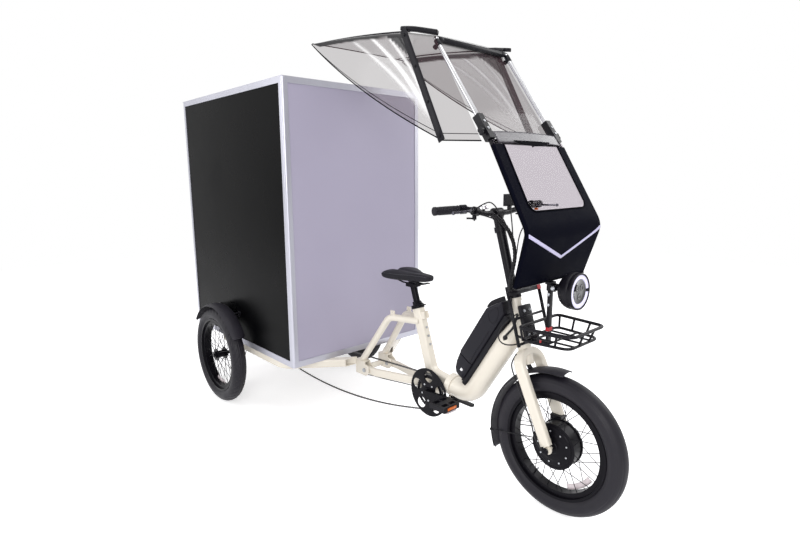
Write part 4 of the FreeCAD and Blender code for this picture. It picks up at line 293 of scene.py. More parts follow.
# grey-tinted polycarbonate with an anti-reflection coat: a clear view with a slight grey cast
shieldClear = surface("polycarbonate sheet grey tint", "#C9C2C9", 0.02, grainMm=60.0, grainDepth=0.01,
                      mottleMm=200.0, mottle=0.02, spread=0.0, specular=0.0, ior=1.04)
shaderOf(shieldClear).inputs["Transmission Weight"].default_value = 1.0
innerLens = surface("smoked polycarbonate lamp lens", "#15151A", 0.1, grainMm=20.0, grainDepth=0.02, mottle=0.1,
                    coat=0.6)


def clothMaterial(name, colour, threadMm, roughness):
    # woven and coated cloth: two thread waves at right angles give the weave its relief
    made = surface(name, colour, roughness, grainMm=3.0, grainDepth=0.1, mottleMm=80.0, mottle=0.14, specular=0.04,
                   ior=1.2)
    tree = made.node_tree
    uv = addNode(tree, "ShaderNodeUVMap", {"uv_map": "cloth"})
    waves = []
    for direction in ("X", "Y"):
        wave = addNode(tree, "ShaderNodeTexWave", {"bands_direction": direction}, Vector=uv.outputs[0],
                       Scale=314.16 / threadMm, Distortion=0.4)
        waves.append(wave.outputs["Fac"])
    woven = addNode(tree, "ShaderNodeMath", {"operation": "MULTIPLY"}, i0=waves[0], i1=waves[1])
    relief = addNode(tree, "ShaderNodeBump", Height=woven.outputs[0], Strength=0.8, Distance=0.0003)
    tree.links.new(relief.outputs[0], shaderOf(made).inputs["Normal"])
    return made


# coated woven polyester, almost black with a blue cast; thread drawn 2.4 mm wide so that it shows
fairingCloth = clothMaterial("woven polyester navy black coated", "#090A14", 2.4, 0.5)
bindingCloth = clothMaterial("woven binding tape black", "#0C0C10", 2.0, 0.6)


def hoodMaterial():
    # clear vinyl sheet, faintly beige; attribute "patch" turns it to black tape, and the fold mark paints white
    # highlight lines along the folds, where the lamps would glint on the sheet
    made = surface("calendered clear vinyl", "#402B30", 0.10, grainMm=45.0, grainDepth=0.25, mottleMm=150.0,
                   mottle=0.06, spread=0.04, specular=0.25, ior=1.45)
    tree = made.node_tree
    shader = shaderOf(made)
    patch = addNode(tree, "ShaderNodeAttribute", {"attribute_name": "patch"})
    paintedCreaseHighlight = addNode(tree, "ShaderNodeAttribute", {"attribute_name": "paintedCreaseHighlight"})
    clear = shader.inputs["Base Color"].links[0].from_socket
    # painted highlight: white mixed into the colour along the folds
    paintedHighlightMix = addNode(tree, "ShaderNodeMix", {"data_type": "RGBA"}, Factor=paintedCreaseHighlight.outputs["Fac"], i6=clear,
                       i7=hexLinear("#FFFFFF"))
    taped = addNode(tree, "ShaderNodeMix", {"data_type": "RGBA"}, Factor=patch.outputs["Fac"],
                    i6=paintedHighlightMix.outputs[2], i7=hexLinear("#1A191C"))
    tree.links.new(taped.outputs[2], shader.inputs["Base Color"])
    # the sheet is near opaque under the tape and under the painted highlights
    cover = addNode(tree, "ShaderNodeMath", {"operation": "MAXIMUM"}, i0=patch.outputs["Fac"],
                    i1=paintedCreaseHighlight.outputs["Fac"])
    solid = addNode(tree, "ShaderNodeMapRange", Value=cover.outputs[0], To_Min=0.41, To_Max=0.97)
    tree.links.new(solid.outputs[0], shader.inputs["Alpha"])
    return made


clearVinyl = hoodMaterial()
# smoked PVC strip, pressed
smokedVisor = surface("pressed smoked PVC", "#4A474E", 0.16, grainMm=30.0, grainDepth=0.05, mottleMm=120.0,
                      mottle=0.06, alpha=0.78, specular=0.3)

finishes = {
    creamCoat: "head_tube main_tube seat_tube lower_stays upper_arms pivot_brackets rear_arms axle_beam fork",
    blackCoat: "steering_post handlebar brake_caliper front_basket windshield_frame "
               "derailleur frame_latch_lever axle_bearings drive_housing",
    leverAlloy: "right_brake_lever left_brake_lever",
    fenderPlastic: "rear_fenders front_fender",
    blackAnodised: "front_rim rear_right_wheel rear_left_wheel hub_motor crank_arms chainring seatpost",
    tyreRubber: "front_tyre rear_right_tyre rear_left_tyre",
    brightSteel: "front_brake_disc cassette frame_bolts",
    chainSteel: "chain",
    boxAluminium: "box_frame",
    brightTube: "canopy_tubes",
    blackSheet: "box_side_panels",
    paleSheet: "box_pale_panels rear_door",
    filmPly: "box_floor",
    mouldedBlack: "control_housings shift_lever throttle_lever right_pedal left_pedal door_handle canopy_bands "
                  "battery_tray headlight",
    batteryShell: "battery",
    gripRubber: "grips",
    hoseSkin: "steering_cables frame_cables",
    saddleCover: "saddle",
    fairingCloth: "fairing",
    clearVinyl: "canopy_sheet",
    shieldClear: "windshield_panel",
    innerLens: "headlight_lens",
}
for finish, names in finishes.items():
    for name in names.split():
        shown = nodes[name]
        if not shown.material_slots:
            shown.data.materials.append(finish)
        for place in shown.material_slots:
            place.material = finish
print("materials on", len(nodes), "nodes")


def gridFaces(rows, cols, loopRows=False, loopCols=False):
    # quads between neighbouring rows and columns of a grid of points
    r, c = np.meshgrid(np.arange(rows if loopRows else rows - 1), np.arange(cols if loopCols else cols - 1),
                       indexing="ij")
    r2, c2 = (r + 1) % rows, (c + 1) % cols
    return np.stack([r * cols + c, r * cols + c2, r2 * cols + c2, r2 * cols + c], -1).reshape(-1, 4)


def grid(points, loopRows=False, loopCols=False, caps=False):
    # a surface from an array of rows x columns x 3, with its first and last row closed where caps is set
    rows, cols = points.shape[:2]
    faces = gridFaces(rows, cols, loopRows, loopCols).tolist()
    if caps:
        faces += [list(range(cols))[::-1], list(range((rows - 1) * cols, rows * cols))]
    return points.reshape(-1, 3), faces


def lathe(centre, axis, profile, sides=48, sweep=360.0, start=0.0):
    # a profile of (along, radius) in mm turned about an axis:
    # centre + along * axis + radius * (cos a * e + sin a * f)
    axis = unit(axis)
    e = unit(np.cross(axis, (0.0, 0.0, 1.0) if abs(axis[2]) < 0.9 else (1.0, 0.0, 0.0)))
    f = np.cross(axis, e)
    whole = sweep >= 360.0
    angle = np.radians(start + np.linspace(0.0, sweep, sides, endpoint=not whole))
    ring = np.cos(angle)[:, None] * e + np.sin(angle)[:, None] * f
    profile = np.asarray(profile, float) / 1000.0
    points = centre + profile[:, 0, None, None] * axis + np.maximum(profile[:, 1], 1e-5)[:, None, None] * ring
    return grid(points, loopCols=whole, caps=whole)


def sweepAlong(line, outline, ref=(0.0, 0.0, 1.0)):
    # an outline of (side, up) in mm carried along a line of points; ref keeps it from twisting
    tangent = units(np.gradient(line, axis=0))
    side = units(np.cross(np.asarray(ref, float), tangent))
    up = np.cross(tangent, side)
    outline = np.asarray(outline, float) / 1000.0
    points = line[:, None] + outline[None, :, :1] * side[:, None] + outline[None, :, 1:] * up[:, None]
    return grid(points, loopCols=True, caps=True)


def tube(line, radius, sides=10, ref=(0.0, 0.0, 1.0)):
    # a circle in mm carried along a line of points
    return sweepAlong(np.asarray(line, float), polar(radius, turnSteps(sides)), ref)


def slab(low, high):
    # a block between two corners, in metres
    low, high = np.asarray(low), np.asarray(high)
    pick = np.array([(0, 0), (1, 0), (1, 1), (0, 1)])
    rows = [np.column_stack([np.where(pick == 0, low[:2], high[:2]), np.full(4, z)]) for z in (low[2], high[2])]
    return grid(np.array(rows), loopCols=True, caps=True)


def smoothRoute(points):
    # points along a NURBS spline of order 3 with the route's points as its control points
    curve = bpy.data.curves.new("route", "CURVE")
    curve.dimensions = "3D"
    spline = curve.splines.new("NURBS")
    spline.points.add(len(points) - 1)
    for place, point in zip(spline.points, points):
        place.co = (*point, 1.0)
    spline.order_u = 3
    spline.use_endpoint_u = True
    spline.resolution_u = 12  # points from one control point to the next
    holder = bpy.data.objects.new("route", curve)
    line = bpy.data.meshes.new_from_object(holder)
    found = np.zeros(len(line.vertices) * 3)
    line.vertices.foreach_get("co", found)
    bpy.data.objects.remove(holder)
    bpy.data.curves.remove(curve)
    bpy.data.meshes.remove(line)
    return found.reshape(-1, 3)


def addPiece(name, parts, finish, body, covers=(), uv=None, marks=None, wall=0.0, bevel=0.0, subdivide=0,
             weld=False, outward=True, smooth=True):
    # one mesh object from surfaces, riding on a body
    points, faces, count = [], [], 0
    for some, quads in parts:
        points.append(some)
        faces += [[k + count for k in quad] for quad in quads]
        count += len(some)
    mesh = bpy.data.meshes.new(name)
    mesh.from_pydata(np.concatenate(points).tolist(), [], faces)
    if uv is not None:
        layer = mesh.uv_layers.new(name="cloth")
        corner = np.zeros(len(mesh.loops), int)
        mesh.loops.foreach_get("vertex_index", corner)
        layer.data.foreach_set("uv", np.asarray(uv)[corner].astype(np.float32).ravel())
    for mark, values in (marks or {}).items():
        layer = mesh.attributes.new(mark, "FLOAT", "POINT")
        layer.data.foreach_set("value", np.asarray(values, np.float32))
    tools = bmesh.new()
    tools.from_mesh(mesh)
    if weld:
        bmesh.ops.remove_doubles(tools, verts=tools.verts, dist=2e-5)
    if outward:
        bmesh.ops.recalc_face_normals(tools, faces=tools.faces)
    tools.to_mesh(mesh)
    tools.free()
    mesh.polygons.foreach_set("use_smooth", np.full(len(mesh.polygons), smooth))
    mesh.materials.append(finish)
    made = bpy.data.objects.new(name, mesh)
    bpy.context.scene.collection.objects.link(made)
    if wall:
        shell = made.modifiers.new("wall", "SOLIDIFY")
        shell.thickness = wall / 1000.0
        shell.offset = -1.0
    if bevel:
        soft = made.modifiers.new("edges", "BEVEL")
        soft.width = bevel / 1000.0
        soft.segments = 2
        soft.limit_method = "ANGLE"
    if subdivide:
        finer = made.modifiers.new("finer", "SUBSURF")
        finer.levels = finer.render_levels = subdivide
    if body:
        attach(made, body)
    if covers:
        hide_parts(*covers)
    return made


tyreForm = {"around": 320, "centre": 232.7, "round": 39.3, "bead": 203.6, "beadHalf": 26.6, "wall": 4.6,
            "rearBlocks": 40, "rearDepth": 3.0, "ribDepth": 1.5,
            # grooves of the ribbed tread: degrees from the crown, width in degrees, depth
            "ribs": ((30.0, 2.2, 1.0), (58.0, 2.4, 1.0), (82.0, 2.4, 0.6))}


def tyreSurface(hub, blocks):
    # section of (y, radius) round the wheel; the crown is an arc, and grooves lower it: slanted blocks or ribs
    crown = np.radians(np.linspace(-97, 97, 61))
    deg = np.degrees(crown)
    bead = np.array([(36.9, 222.0), (32.0, 214.0), (tyreForm["beadHalf"], 209.6),
                     (tyreForm["beadHalf"], tyreForm["bead"])])
    inner = np.radians(np.linspace(92, -92, 15))
    lining = tyreForm["round"] - tyreForm["wall"]
    y = np.concatenate([-bead[::-1, 0], tyreForm["round"] * np.sin(crown), bead[:, 0], [22.0],
                        lining * np.sin(inner) * 0.9, [-22.0]])
    r = np.concatenate([bead[::-1, 1], tyreForm["centre"] + tyreForm["round"] * np.cos(crown), bead[:, 1],
                        [tyreForm["bead"]], tyreForm["centre"] + lining * np.cos(inner), [tyreForm["bead"]]])
    spin = turnSteps(tyreForm["around"])
    cut = np.zeros((len(spin), len(y)))
    first = len(bead)
    tread = slice(first, first + len(crown))
    side = np.abs(deg)[None, :]
    if blocks:
        phase = (spin[:, None] * blocks / (2 * np.pi) + side / 46.0) % 1.0
        slant = np.clip(1.4 - np.abs(phase - 0.5) / 0.09, 0, 1)
        slant = slant * np.clip((side - 14.0) / 6.0, 0, 1) * np.clip((70.0 - side) / 8.0, 0, 1)
        cut[:, tread] = tyreForm["rearDepth"] * np.maximum(slant, np.exp(-((side - 9.0) / 2.0) ** 2))
    else:
        rib = sum(deep * np.exp(-((side - place) / wide) ** 2) for place, wide, deep in tyreForm["ribs"])
        cut[:, tread] = tyreForm["ribDepth"] * rib
    radius = (r[None, :] - cut * np.clip((r[None, :] - 226.0) / 12.0, 0.25, 1)) / 1000.0
    across = np.broadcast_to(y[None, :] / 1000.0, radius.shape)
    points = hub + np.stack([radius * np.cos(spin)[:, None], across, radius * np.sin(spin)[:, None]], -1)
    return grid(points, loopRows=True, loopCols=True)


wheelRadius, wheelbase, halfTrack = 272, 1885, 493.5
frontHub = at(wheelbase, 0, wheelRadius)
rearHubs = {"right": at(0, -halfTrack, wheelRadius), "left": at(0, halfTrack, wheelRadius)}
addPiece("frontTyre", [tyreSurface(frontHub, 0)], tyreRubber, "front_wheel", ["front_tyre"])
for side in ("right", "left"):
    addPiece(side + "RearTyre", [tyreSurface(rearHubs[side], tyreForm["rearBlocks"])], tyreRubber,
             f"rear_{side}_wheel", [f"rear_{side}_tyre"])


def valveStem(hub, angle):
    # a turned stem that points out from the hub at an angle
    out = np.array([math.cos(angle), 0.0, math.sin(angle)])
    return lathe(hub + out * 0.150, out, [(0, 2.6), (3, 3.2), (14, 3.2), (15, 2.6), (33, 2.6)], 12)


addPiece("frontValve", [valveStem(frontHub, -2.1)], brightSteel, "front_wheel")
for side in ("right", "left"):
    addPiece(side + "RearValve", [valveStem(rearHubs[side], -0.7)], brightSteel, f"rear_{side}_wheel")
print("tyres made")


fenderForm = {"radius": 296.4, "halfWidth": 41.8, "crown": 11.0, "skin": 2.4, "rear": (30.0, 146.0),
              "front": (84.0, 202.0),
              # brackets to the box wall: angles, distance from the hub, y of the wall, its plate and the tabs
              "brackets": (62.0, 114.0), "bracketReach": 282.0, "wall": 424.2, "plate": 427.4, "tabs": 462.0}


def fenderSurface(hub, start, end):
    # radius falls by crown * v^2 from the middle to the edges, and the last few degrees draw in
    angle = np.linspace(start, end, 72)[:, None]
    v = np.linspace(-1, 1, 19)[None, :]
    near = np.minimum(angle - start, end - angle)
    draw = 1.0 - 0.22 * np.exp(-near / 3.0)
    radius = (fenderForm["radius"] - fenderForm["crown"] * np.abs(v) ** 2.4 + 0 * angle) / 1000.0
    turn = np.radians(angle)
    points = hub + np.stack([radius * np.cos(turn), fenderForm["halfWidth"] * v * draw / 1000.0 + 0 * turn,
                             radius * np.sin(turn)], -1)
    return grid(points)


def fenderRims(hub, start, end):
    # rolled edge wire along both sides
    angle = np.radians(np.linspace(start + 1.5, end - 1.5, 60))
    radius = (fenderForm["radius"] - fenderForm["crown"] - 0.6) / 1000.0
    rims = []
    for v in (-1, 1):
        line = hub + np.stack([radius * np.cos(angle), np.full(60, v * (fenderForm["halfWidth"] - 2.2) / 1000.0),
                               radius * np.sin(angle)], -1)
        rims.append(tube(line, 1.8, 8, (0, 1, 0)))
    return rims


rearGuards = [fenderSurface(hub, *fenderForm["rear"]) for hub in rearHubs.values()]
addPiece("rearFenderSkins", rearGuards, fenderPlastic, "frame", ["rear_fenders"],
         wall=fenderForm["skin"], outward=False)
fittings = []
for side, sign in (("right", -1), ("left", 1)):
    fittings += fenderRims(rearHubs[side], *fenderForm["rear"])
    wall, plate, tabs = (sign * fenderForm[k] for k in ("wall", "plate", "tabs"))
    for degrees in fenderForm["brackets"]:
        reach = fenderForm["bracketReach"]
        x, z = reach * math.cos(math.radians(degrees)), wheelRadius + reach * math.sin(math.radians(degrees))
        for lift in (-9.0, 7.0):
            fittings.append(slab(at(x - 11, min(wall, tabs), z + lift),
                                 at(x + 11, max(wall, tabs), z + lift + 3.0)))
        fittings.append(slab(at(x - 14, min(wall, plate), z - 14), at(x + 14, max(wall, plate), z + 15)))
        fittings.append(lathe(at(x, plate, z + 1), (0, sign, 0), [(0, 5.5), (3, 5.5), (4, 4.4), (4, 0)], 12))
addPiece("rearFenderFittings", fittings, blackCoat, "frame", bevel=0.6)
addPiece("frontFenderSkin", [fenderSurface(frontHub, *fenderForm["front"])], fenderPlastic, "steering",
         ["front_fender"], wall=fenderForm["skin"], outward=False)
fittings = fenderRims(frontHub, *fenderForm["front"])
fittings.append(tube(np.linspace(at(1755, 0, 537), at(1741.5, 0, 553.5), 6), 9.0, 16, (0, 1, 0)))
for sign in (-1, 1):
    fittings.append(tube(np.linspace(at(1873, sign * 62.5, 306), at(1603.0, sign * 40.5, 243), 12), 2.2, 8))
    fittings.append(lathe(at(1603.0, sign * 41.5, 243), (0, sign, 0), [(0, 6), (2.4, 6), (3.4, 4.6), (3.4, 0)], 12))
addPiece("frontFenderFittings", fittings, blackCoat, "steering")
print("fenders made")


saddleForm = {"tail": 960.0, "length": 256.0, "top": 838.0, "base": 792.2, "halfWidth": 101.0, "groove": 12.0}


def saddleSurface():
    # half width and crown height follow the length; each section is crowned above its edge and drawn in below it
    u = np.linspace(0, 1, 73)
    marks = np.array([0.0, 0.02, 0.06, 0.14, 0.28, 0.42, 0.56, 0.70, 0.85, 0.94, 0.98, 1.0])
    wide = np.interp(u, marks, [0.62, 0.82, 0.94, 1.0, 0.98, 0.80, 0.52, 0.35, 0.28, 0.25, 0.19, 0.09])
    drop = np.interp(u, marks, [13, 6, 2, 0.0, 0.0, 2.0, 4.0, 5.0, 6.0, 8.0, 11.0, 17.0])
    foot = np.interp(u, marks, [9, 4, 1, 0, 0, 0, 0, 0, 5.0, 10.0, 12.0, 15.0])
    kernel = np.ones(5) / 5
    wide, drop, foot = (np.convolve(np.pad(v, 2, "edge"), kernel, "valid")[:, None] for v in (wide, drop, foot))
    turn = turnSteps(64)[None, :]
    c, s = np.cos(turn), np.sin(turn)
    half = saddleForm["halfWidth"] * wide
    crown = saddleForm["top"] - drop
    base = saddleForm["base"] + foot
    edge = crown - (crown - base) * 0.42
    y = half * np.sign(c) * np.abs(c) ** 0.66 * np.where(s < 0, 1.0 - 0.14 * np.abs(s) ** 0.8, 1.0)
    z = np.where(s >= 0, edge + (crown - edge) * np.abs(s) ** 0.66, edge - (edge - base) * np.abs(s) ** 0.62)
    along = u[:, None]
    deep = np.interp(along, [0, 0.3, 0.6, 0.85], [1.0, 0.9, 0.45, 0.0])
    channel = np.exp(-(y / (15.0 - 6.0 * along)) ** 2) * deep
    z = z - np.where(s > 0, saddleForm["groove"] * channel, 0.0)
    seam = np.exp(-((np.degrees(turn) - 22.0) / 3.0) ** 2) + np.exp(-((np.degrees(turn) - 158.0) / 3.0) ** 2)
    z = z - 1.6 * seam
    x = saddleForm["tail"] + saddleForm["length"] * (0.25 * (0.5 - 0.5 * np.cos(np.pi * along)) + 0.75 * along)
    x = x + 14.0 * np.exp(-(y / 20.0) ** 2) * np.exp(-along * 16.0)
    return at(x, y, z)


saddlePoints = saddleSurface()
saddlePad = addPiece("saddlePad", [grid(saddlePoints, loopCols=True, caps=True)], saddleCover, "seat",
                     ["saddle"], subdivide=1)
stitches = []
for column in (4, 28):
    stitches.append(tube(saddlePoints[4:-4, column] + np.array([0, 0, 0.0009]), 0.9, 6))
addPiece("saddleStitching", stitches, saddleThread, "seat")

barMiddle = np.array([1575.1, 0.0, 1133.4])
gripForm = {"inner": 0.26, "radius": 14.9, "ribPitch": 4.2, "ribHigh": 0.7}


def barPlace(sign, share):
    # a place on the straight end of the bar, from its last bend to its tip
    corner = barMiddle + np.array([15.0, sign * 205.0, 25.0])
    end = barMiddle + np.array([-25.0, sign * 330.0, 21.0])
    return corner + (end - corner) * share


gripParts = []
for sign in (-1, 1):
    start, end = barPlace(sign, gripForm["inner"]), barPlace(sign, 1.0)
    long = float(np.linalg.norm(end - start))
    s = np.linspace(4, long - 6, 140)
    fade = np.clip(np.minimum(s - 10, long - 14 - s) / 6, 0, 1)
    ribs = gripForm["radius"] + gripForm["ribHigh"] * np.abs(np.sin(np.pi * s / gripForm["ribPitch"])) * fade
    profile = [(0, 11.1), (0, 15.2), (0.8, 16.0), (3.4, 16.0), *zip(s, ribs), (long - 5, 15.9), (long + 3, 15.9),
               (long + 4.6, 14.5), (long + 5, 12), (long + 5, 0)]
    gripParts.append(lathe(at(*start), end - start, profile, 32))
addPiece("ribbedGrips", gripParts, gripRubber, "steering", ["grips"])
print("saddle and grips made")


batteryForm = {
    "foot": (1462.0, 0.0, 335.0), "along": (0.536, 0.0, 0.844), "out": (-0.844, 0.0, 0.536),
    # distance along the tube, half width, inner face, outer face
    "base": ((52, 34, 63, 90), (53, 39, 59, 99), (57, 42, 57.5, 108), (70, 43.5, 57.4, 120), (100, 44.5, 57.4, 131),
             (140, 45, 57.4, 137.5), (144.5, 44.6, 57.6, 137), (146, 43, 59, 135)),
    "case": ((149, 43, 59, 137), (150.5, 45.2, 57.6, 139.6), (154, 46, 57.4, 141), (200, 46, 57.4, 141),
             (330, 46, 57.4, 141), (398, 46, 57.4, 141), (406, 45.8, 57.4, 139), (412, 45.5, 57.4, 135.5),
             (430, 44.5, 57.4, 126),
             (446, 43, 58.4, 116.5), (460, 41.5, 74, 108), (470, 39.5, 85, 102), (474.5, 37, 90.5, 98.5),
             (476, 33, 92.5, 96.5)),
    "core": ((142, 40, 61, 132), (154, 40, 61, 132)),
}


def onTube(along, y, out):
    # a place by the main tube: along it, across, and out from its middle
    along, y, out = (np.asarray(v, float)[..., None] for v in (along, y, out))
    foot, ahead, away = (np.array(batteryForm[k]) for k in ("foot", "along", "out"))
    return toFrame(foot + along * ahead + out * away + y * np.array([0.0, 1.0, 0.0]))


tubeAxes = np.array([batteryForm["along"], (0.0, 1.0, 0.0), batteryForm["out"]])


def turnedBlock(middle, axes, half):
    # a block about a middle point, half its size along each of three axes, in mm
    sign = np.array([(-1, -1), (1, -1), (1, 1), (-1, 1)])
    corner = [np.column_stack([sign, np.full(4, end)]) * np.array(half) / 1000.0 for end in (-1, 1)]
    return grid(middle + np.array(corner) @ axes, loopCols=True, caps=True)


def shellLoft(stations):
    # rounded-rectangle sections |y/h|^6 + |o/k|^6 = 1 between stations
    stations = np.array(stations, float)
    turn = turnSteps(56)
    c = np.sign(np.cos(turn)) * np.abs(np.cos(turn)) ** (1 / 3.0)
    s = np.sign(np.sin(turn)) * np.abs(np.sin(turn)) ** (1 / 3.0)
    along = stations[:, :1] + 0 * c
    y = stations[:, 1:2] * c
    out = (stations[:, 2:3] + stations[:, 3:4]) / 2 + (stations[:, 3:4] - stations[:, 2:3]) / 2 * s
    return grid(onTube(along, y, out), loopCols=True, caps=True)


addPiece("batteryCase", [shellLoft(batteryForm["case"]), shellLoft(batteryForm["base"])], batteryShell, "battery",
         ["battery"])
addPiece("batteryCore", [shellLoft(batteryForm["core"])], mouldedBlack, "battery")
handle = smoothRoute(onTube([388, 406, 432, 456, 470], np.zeros(5), [138, 139.5, 125, 110.5, 100.5]))
handleSection = np.array([(-19, -3), (19, -3), (21, 0), (17, 3), (-17, 3), (-21, 0)])
addPiece("batteryHandle", [sweepAlong(handle, handleSection, (0, 1, 0))], mouldedBlack, "battery",
         bevel=0.8)
ridges = []
for sign in (-1, 1):
    panelEdge = onTube([376, 396, 440, 446, 432, 402, 380, 376],
                       sign * np.array([46, 46, 43.8, 43.4, 44.2, 45.8, 46, 46]),
                       [92, 116, 106, 94, 78, 68, 74, 92])
    ridges.append(tube(panelEdge, 1.1, 6, (0, 1, 0.01)))
    ridges.append(tube(onTube(np.linspace(160, 336, 8), np.full(8, sign * 46.0), np.full(8, 72.0)), 1.0, 6,
                       (0, 1, 0)))
addPiece("batteryRidges", ridges, mouldedBlack, "battery")
lockAt = onTube(92.0, -44.4, 84.0)
lockProfile = [(-2, 7), (1.6, 7), (2.2, 6.2), (2.2, 4.6), (1.2, 4.4), (1.2, 0)]
addPiece("batteryLock", [lathe(lockAt, (0, -1, 0), lockProfile, 24)], chrome, "battery")
portAt = onTube(96.0, 44.2, 92.0)
addPiece("batteryPort", [lathe(portAt, (0, 1, 0), [(-2, 10), (1.8, 10), (2.6, 9), (2.6, 0)], 24)], gripRubber,
         "battery")
dock = [turnedBlock(onTube(236.0, 0.0, 46.6), tubeAxes, (202, 33, 10.6))]
for y in (-21.2, 21.2):
    dock.append(turnedBlock(onTube(42.5, y, 62.0), tubeAxes, (6.5, 4.7, 6.8)))
dockPin = [(0, 0), (0, 3.4), (0.6, 4), (51.4, 4), (52, 3.4), (52, 0)]
dock.append(lathe(onTube(46.0, -26.0, 63.0), (0, 1, 0), dockPin, 20))
addPiece("batteryDock", dock, mouldedBlack, "frame", ["battery_tray"], bevel=1.2)
print("battery made")


lampForm = {"front": 1948.0, "height": 873.0, "cups": ((-15, 13), (15, 13), (0, -17)), "finStep": 20.0}
lampAt = at(lampForm["front"], 0, lampForm["height"])
shellProfile = [(-72, 0), (-72, 26), (-70, 38), (-64, 47), (-56, 55), (-46, 62), (-36, 65.8), (-28, 66.8),
                (-20, 66.8), (-19, 65.6), (-17, 65.6), (-16, 66.8), (-4, 66.8), (-1.2, 66.0), (0, 64.2),
                (-0.2, 62.6), (-2.5, 61.2), (-6, 60.6), (-6.5, 0)]
lampShell = [lathe(lampAt, (1, 0, 0), shellProfile, 72)]
lampShell.append(slab(at(1841, -11.4, 864.5), at(1886, 11.4, 881.5)))
addPiece("lampShell", lampShell, mouldedBlack, "headlight", ["headlight", "headlight_lens"])
# opal ring with a short gap at the rider's left, and its thin bezel
ringProfile = [(-6.2, 44.5), (-3.2, 45.2), (-2.4, 47.0), (-2.2, 52.5), (-2.6, 58.4), (-3.4, 59.8), (-6.2, 60.2)]
addPiece("lampRing", [lathe(lampAt, (1, 0, 0), ringProfile, 84, 346.0, 187.0)], ringLight, "headlight",
         outward=False)
innerProfile = [(-6.4, 44.0), (-4.6, 43.4), (-4.2, 42.0), (-5.4, 40.5), (-5.0, 20), (-4.4, 0)]
addPiece("lampInnerLens", [lathe(lampAt, (1, 0, 0), innerProfile, 64)], innerLens, "headlight")
cups = []
for y, z in lampForm["cups"]:
    cups.append(lathe(at(lampForm["front"] - 4.9, y, lampForm["height"] + z), (1, 0, 0),
                      [(0, 12.5), (1.2, 12.0), (0.4, 9.5), (-1.0, 4), (-1.2, 0)], 28))
addPiece("lampReflectors", cups, displayGlass, "headlight", outward=False)
fins = []
for degrees in np.arange(0, 360, lampForm["finStep"]):
    a = math.radians(degrees)
    spoke = np.array([0, math.cos(a), math.sin(a)])
    inner = lampAt + spoke * 0.030 + np.array([-0.0716, 0, 0])
    outer = lampAt + spoke * 0.056 + np.array([-0.0555, 0, 0])
    fins.append(tube(np.linspace(inner, outer, 5), 1.5, 6, (1, 0.01, 0)))
addPiece("lampFins", fins, mouldedBlack, "headlight")
print("headlight made")


chainForm = {"pitch": 12.7, "y": -46.0, "plate": 3.5, "sag": 60.0, "roller": 2.9, "rollerHalf": 3.9, "end": 3.3,
             "waist": 2.2,
             # x, z where the slack run starts and ends
             "slack": ((1250.0, 297.0 - 80.9), (40.0, 128.0 - 20.0)),
             # x, z, radius, and -1 where the chain passes on the other side
             "ring": (1250.0, 297.0, 81.3, 1), "sprocket": (0.0, 272.0, 28.7, 1), "high": (22.0, 205.0, 27.4, -1),
             "low": (40.0, 128.0, 20.4, 1)}


def beltLine(wheels, offset):
    # tangent runs and arcs round the wheels, sampled closely, as an array of (x, z)
    x, z, r, s = np.array(wheels, float).T
    reach = s * (r + s * offset)
    nextReach = np.roll(reach, -1)
    dx, dz = np.roll(x, -1) - x, np.roll(z, -1) - z
    lean = np.arcsin((nextReach - reach) / np.hypot(dx, dz))
    normal = np.arctan2(dz, dx) + np.pi / 2 + lean
    leave = np.stack([x, z], -1) + polar(reach, normal)
    arrive = np.stack([np.roll(x, -1), np.roll(z, -1)], -1) + polar(nextReach, normal)
    line = []
    for k in range(len(x)):
        j = (k + 1) % len(x)
        begin = math.atan2(arrive[k, 1] - z[j], arrive[k, 0] - x[j])
        end = math.atan2(leave[j, 1] - z[j], leave[j, 0] - x[j])
        turnBy = (end - begin) % (2 * math.pi) - (2 * math.pi if s[j] > 0 else 0)
        a = begin + np.linspace(0, turnBy, 120)
        line.append(np.array([x[j], z[j]]) + polar(abs(reach[j]), a))
    return np.concatenate(line)


def prisms(points):
    # many closed prisms at once, from an array of prisms x 2 ends x sides x 3
    count, ends, sides = points.shape[:3]
    first = np.arange(count) * ends * sides
    walls = gridFaces(ends, sides, loopCols=True)[None] + first[:, None, None]
    lids = np.arange(sides)[None] + first[:, None]
    return points.reshape(-1, 3), walls.reshape(-1, 4).tolist() + lids[:, ::-1].tolist() + (lids + sides).tolist()


ringFoot, lowFoot = (np.array(place) for place in chainForm["slack"])
span = ringFoot - lowFoot
slackRadius = span @ span / (8 * chainForm["sag"])
slackUp = unit([-span[1], span[0]])
slackMiddle = (ringFoot + lowFoot) / 2 + slackUp * (slackRadius - chainForm["sag"])
slackWheel = (*slackMiddle, slackRadius, 1)
line = beltLine([chainForm["sprocket"], chainForm["ring"], slackWheel, chainForm["low"], chainForm["high"]],
                chainForm["plate"])
line = np.vstack([line, line[:1]])
run = np.concatenate([[0], np.cumsum(np.hypot(*np.diff(line, axis=0).T))])
links = 2 * int(round(run[-1] / chainForm["pitch"] / 2))
pins = np.linspace(0, run[-1], links, endpoint=False)
pinX, pinZ = np.interp(pins, run, line[:, 0]), np.interp(pins, run, line[:, 1])
heading = np.stack([np.roll(pinX, -1) - pinX, np.roll(pinZ, -1) - pinZ], -1)
heading /= np.hypot(*heading.T)[:, None]
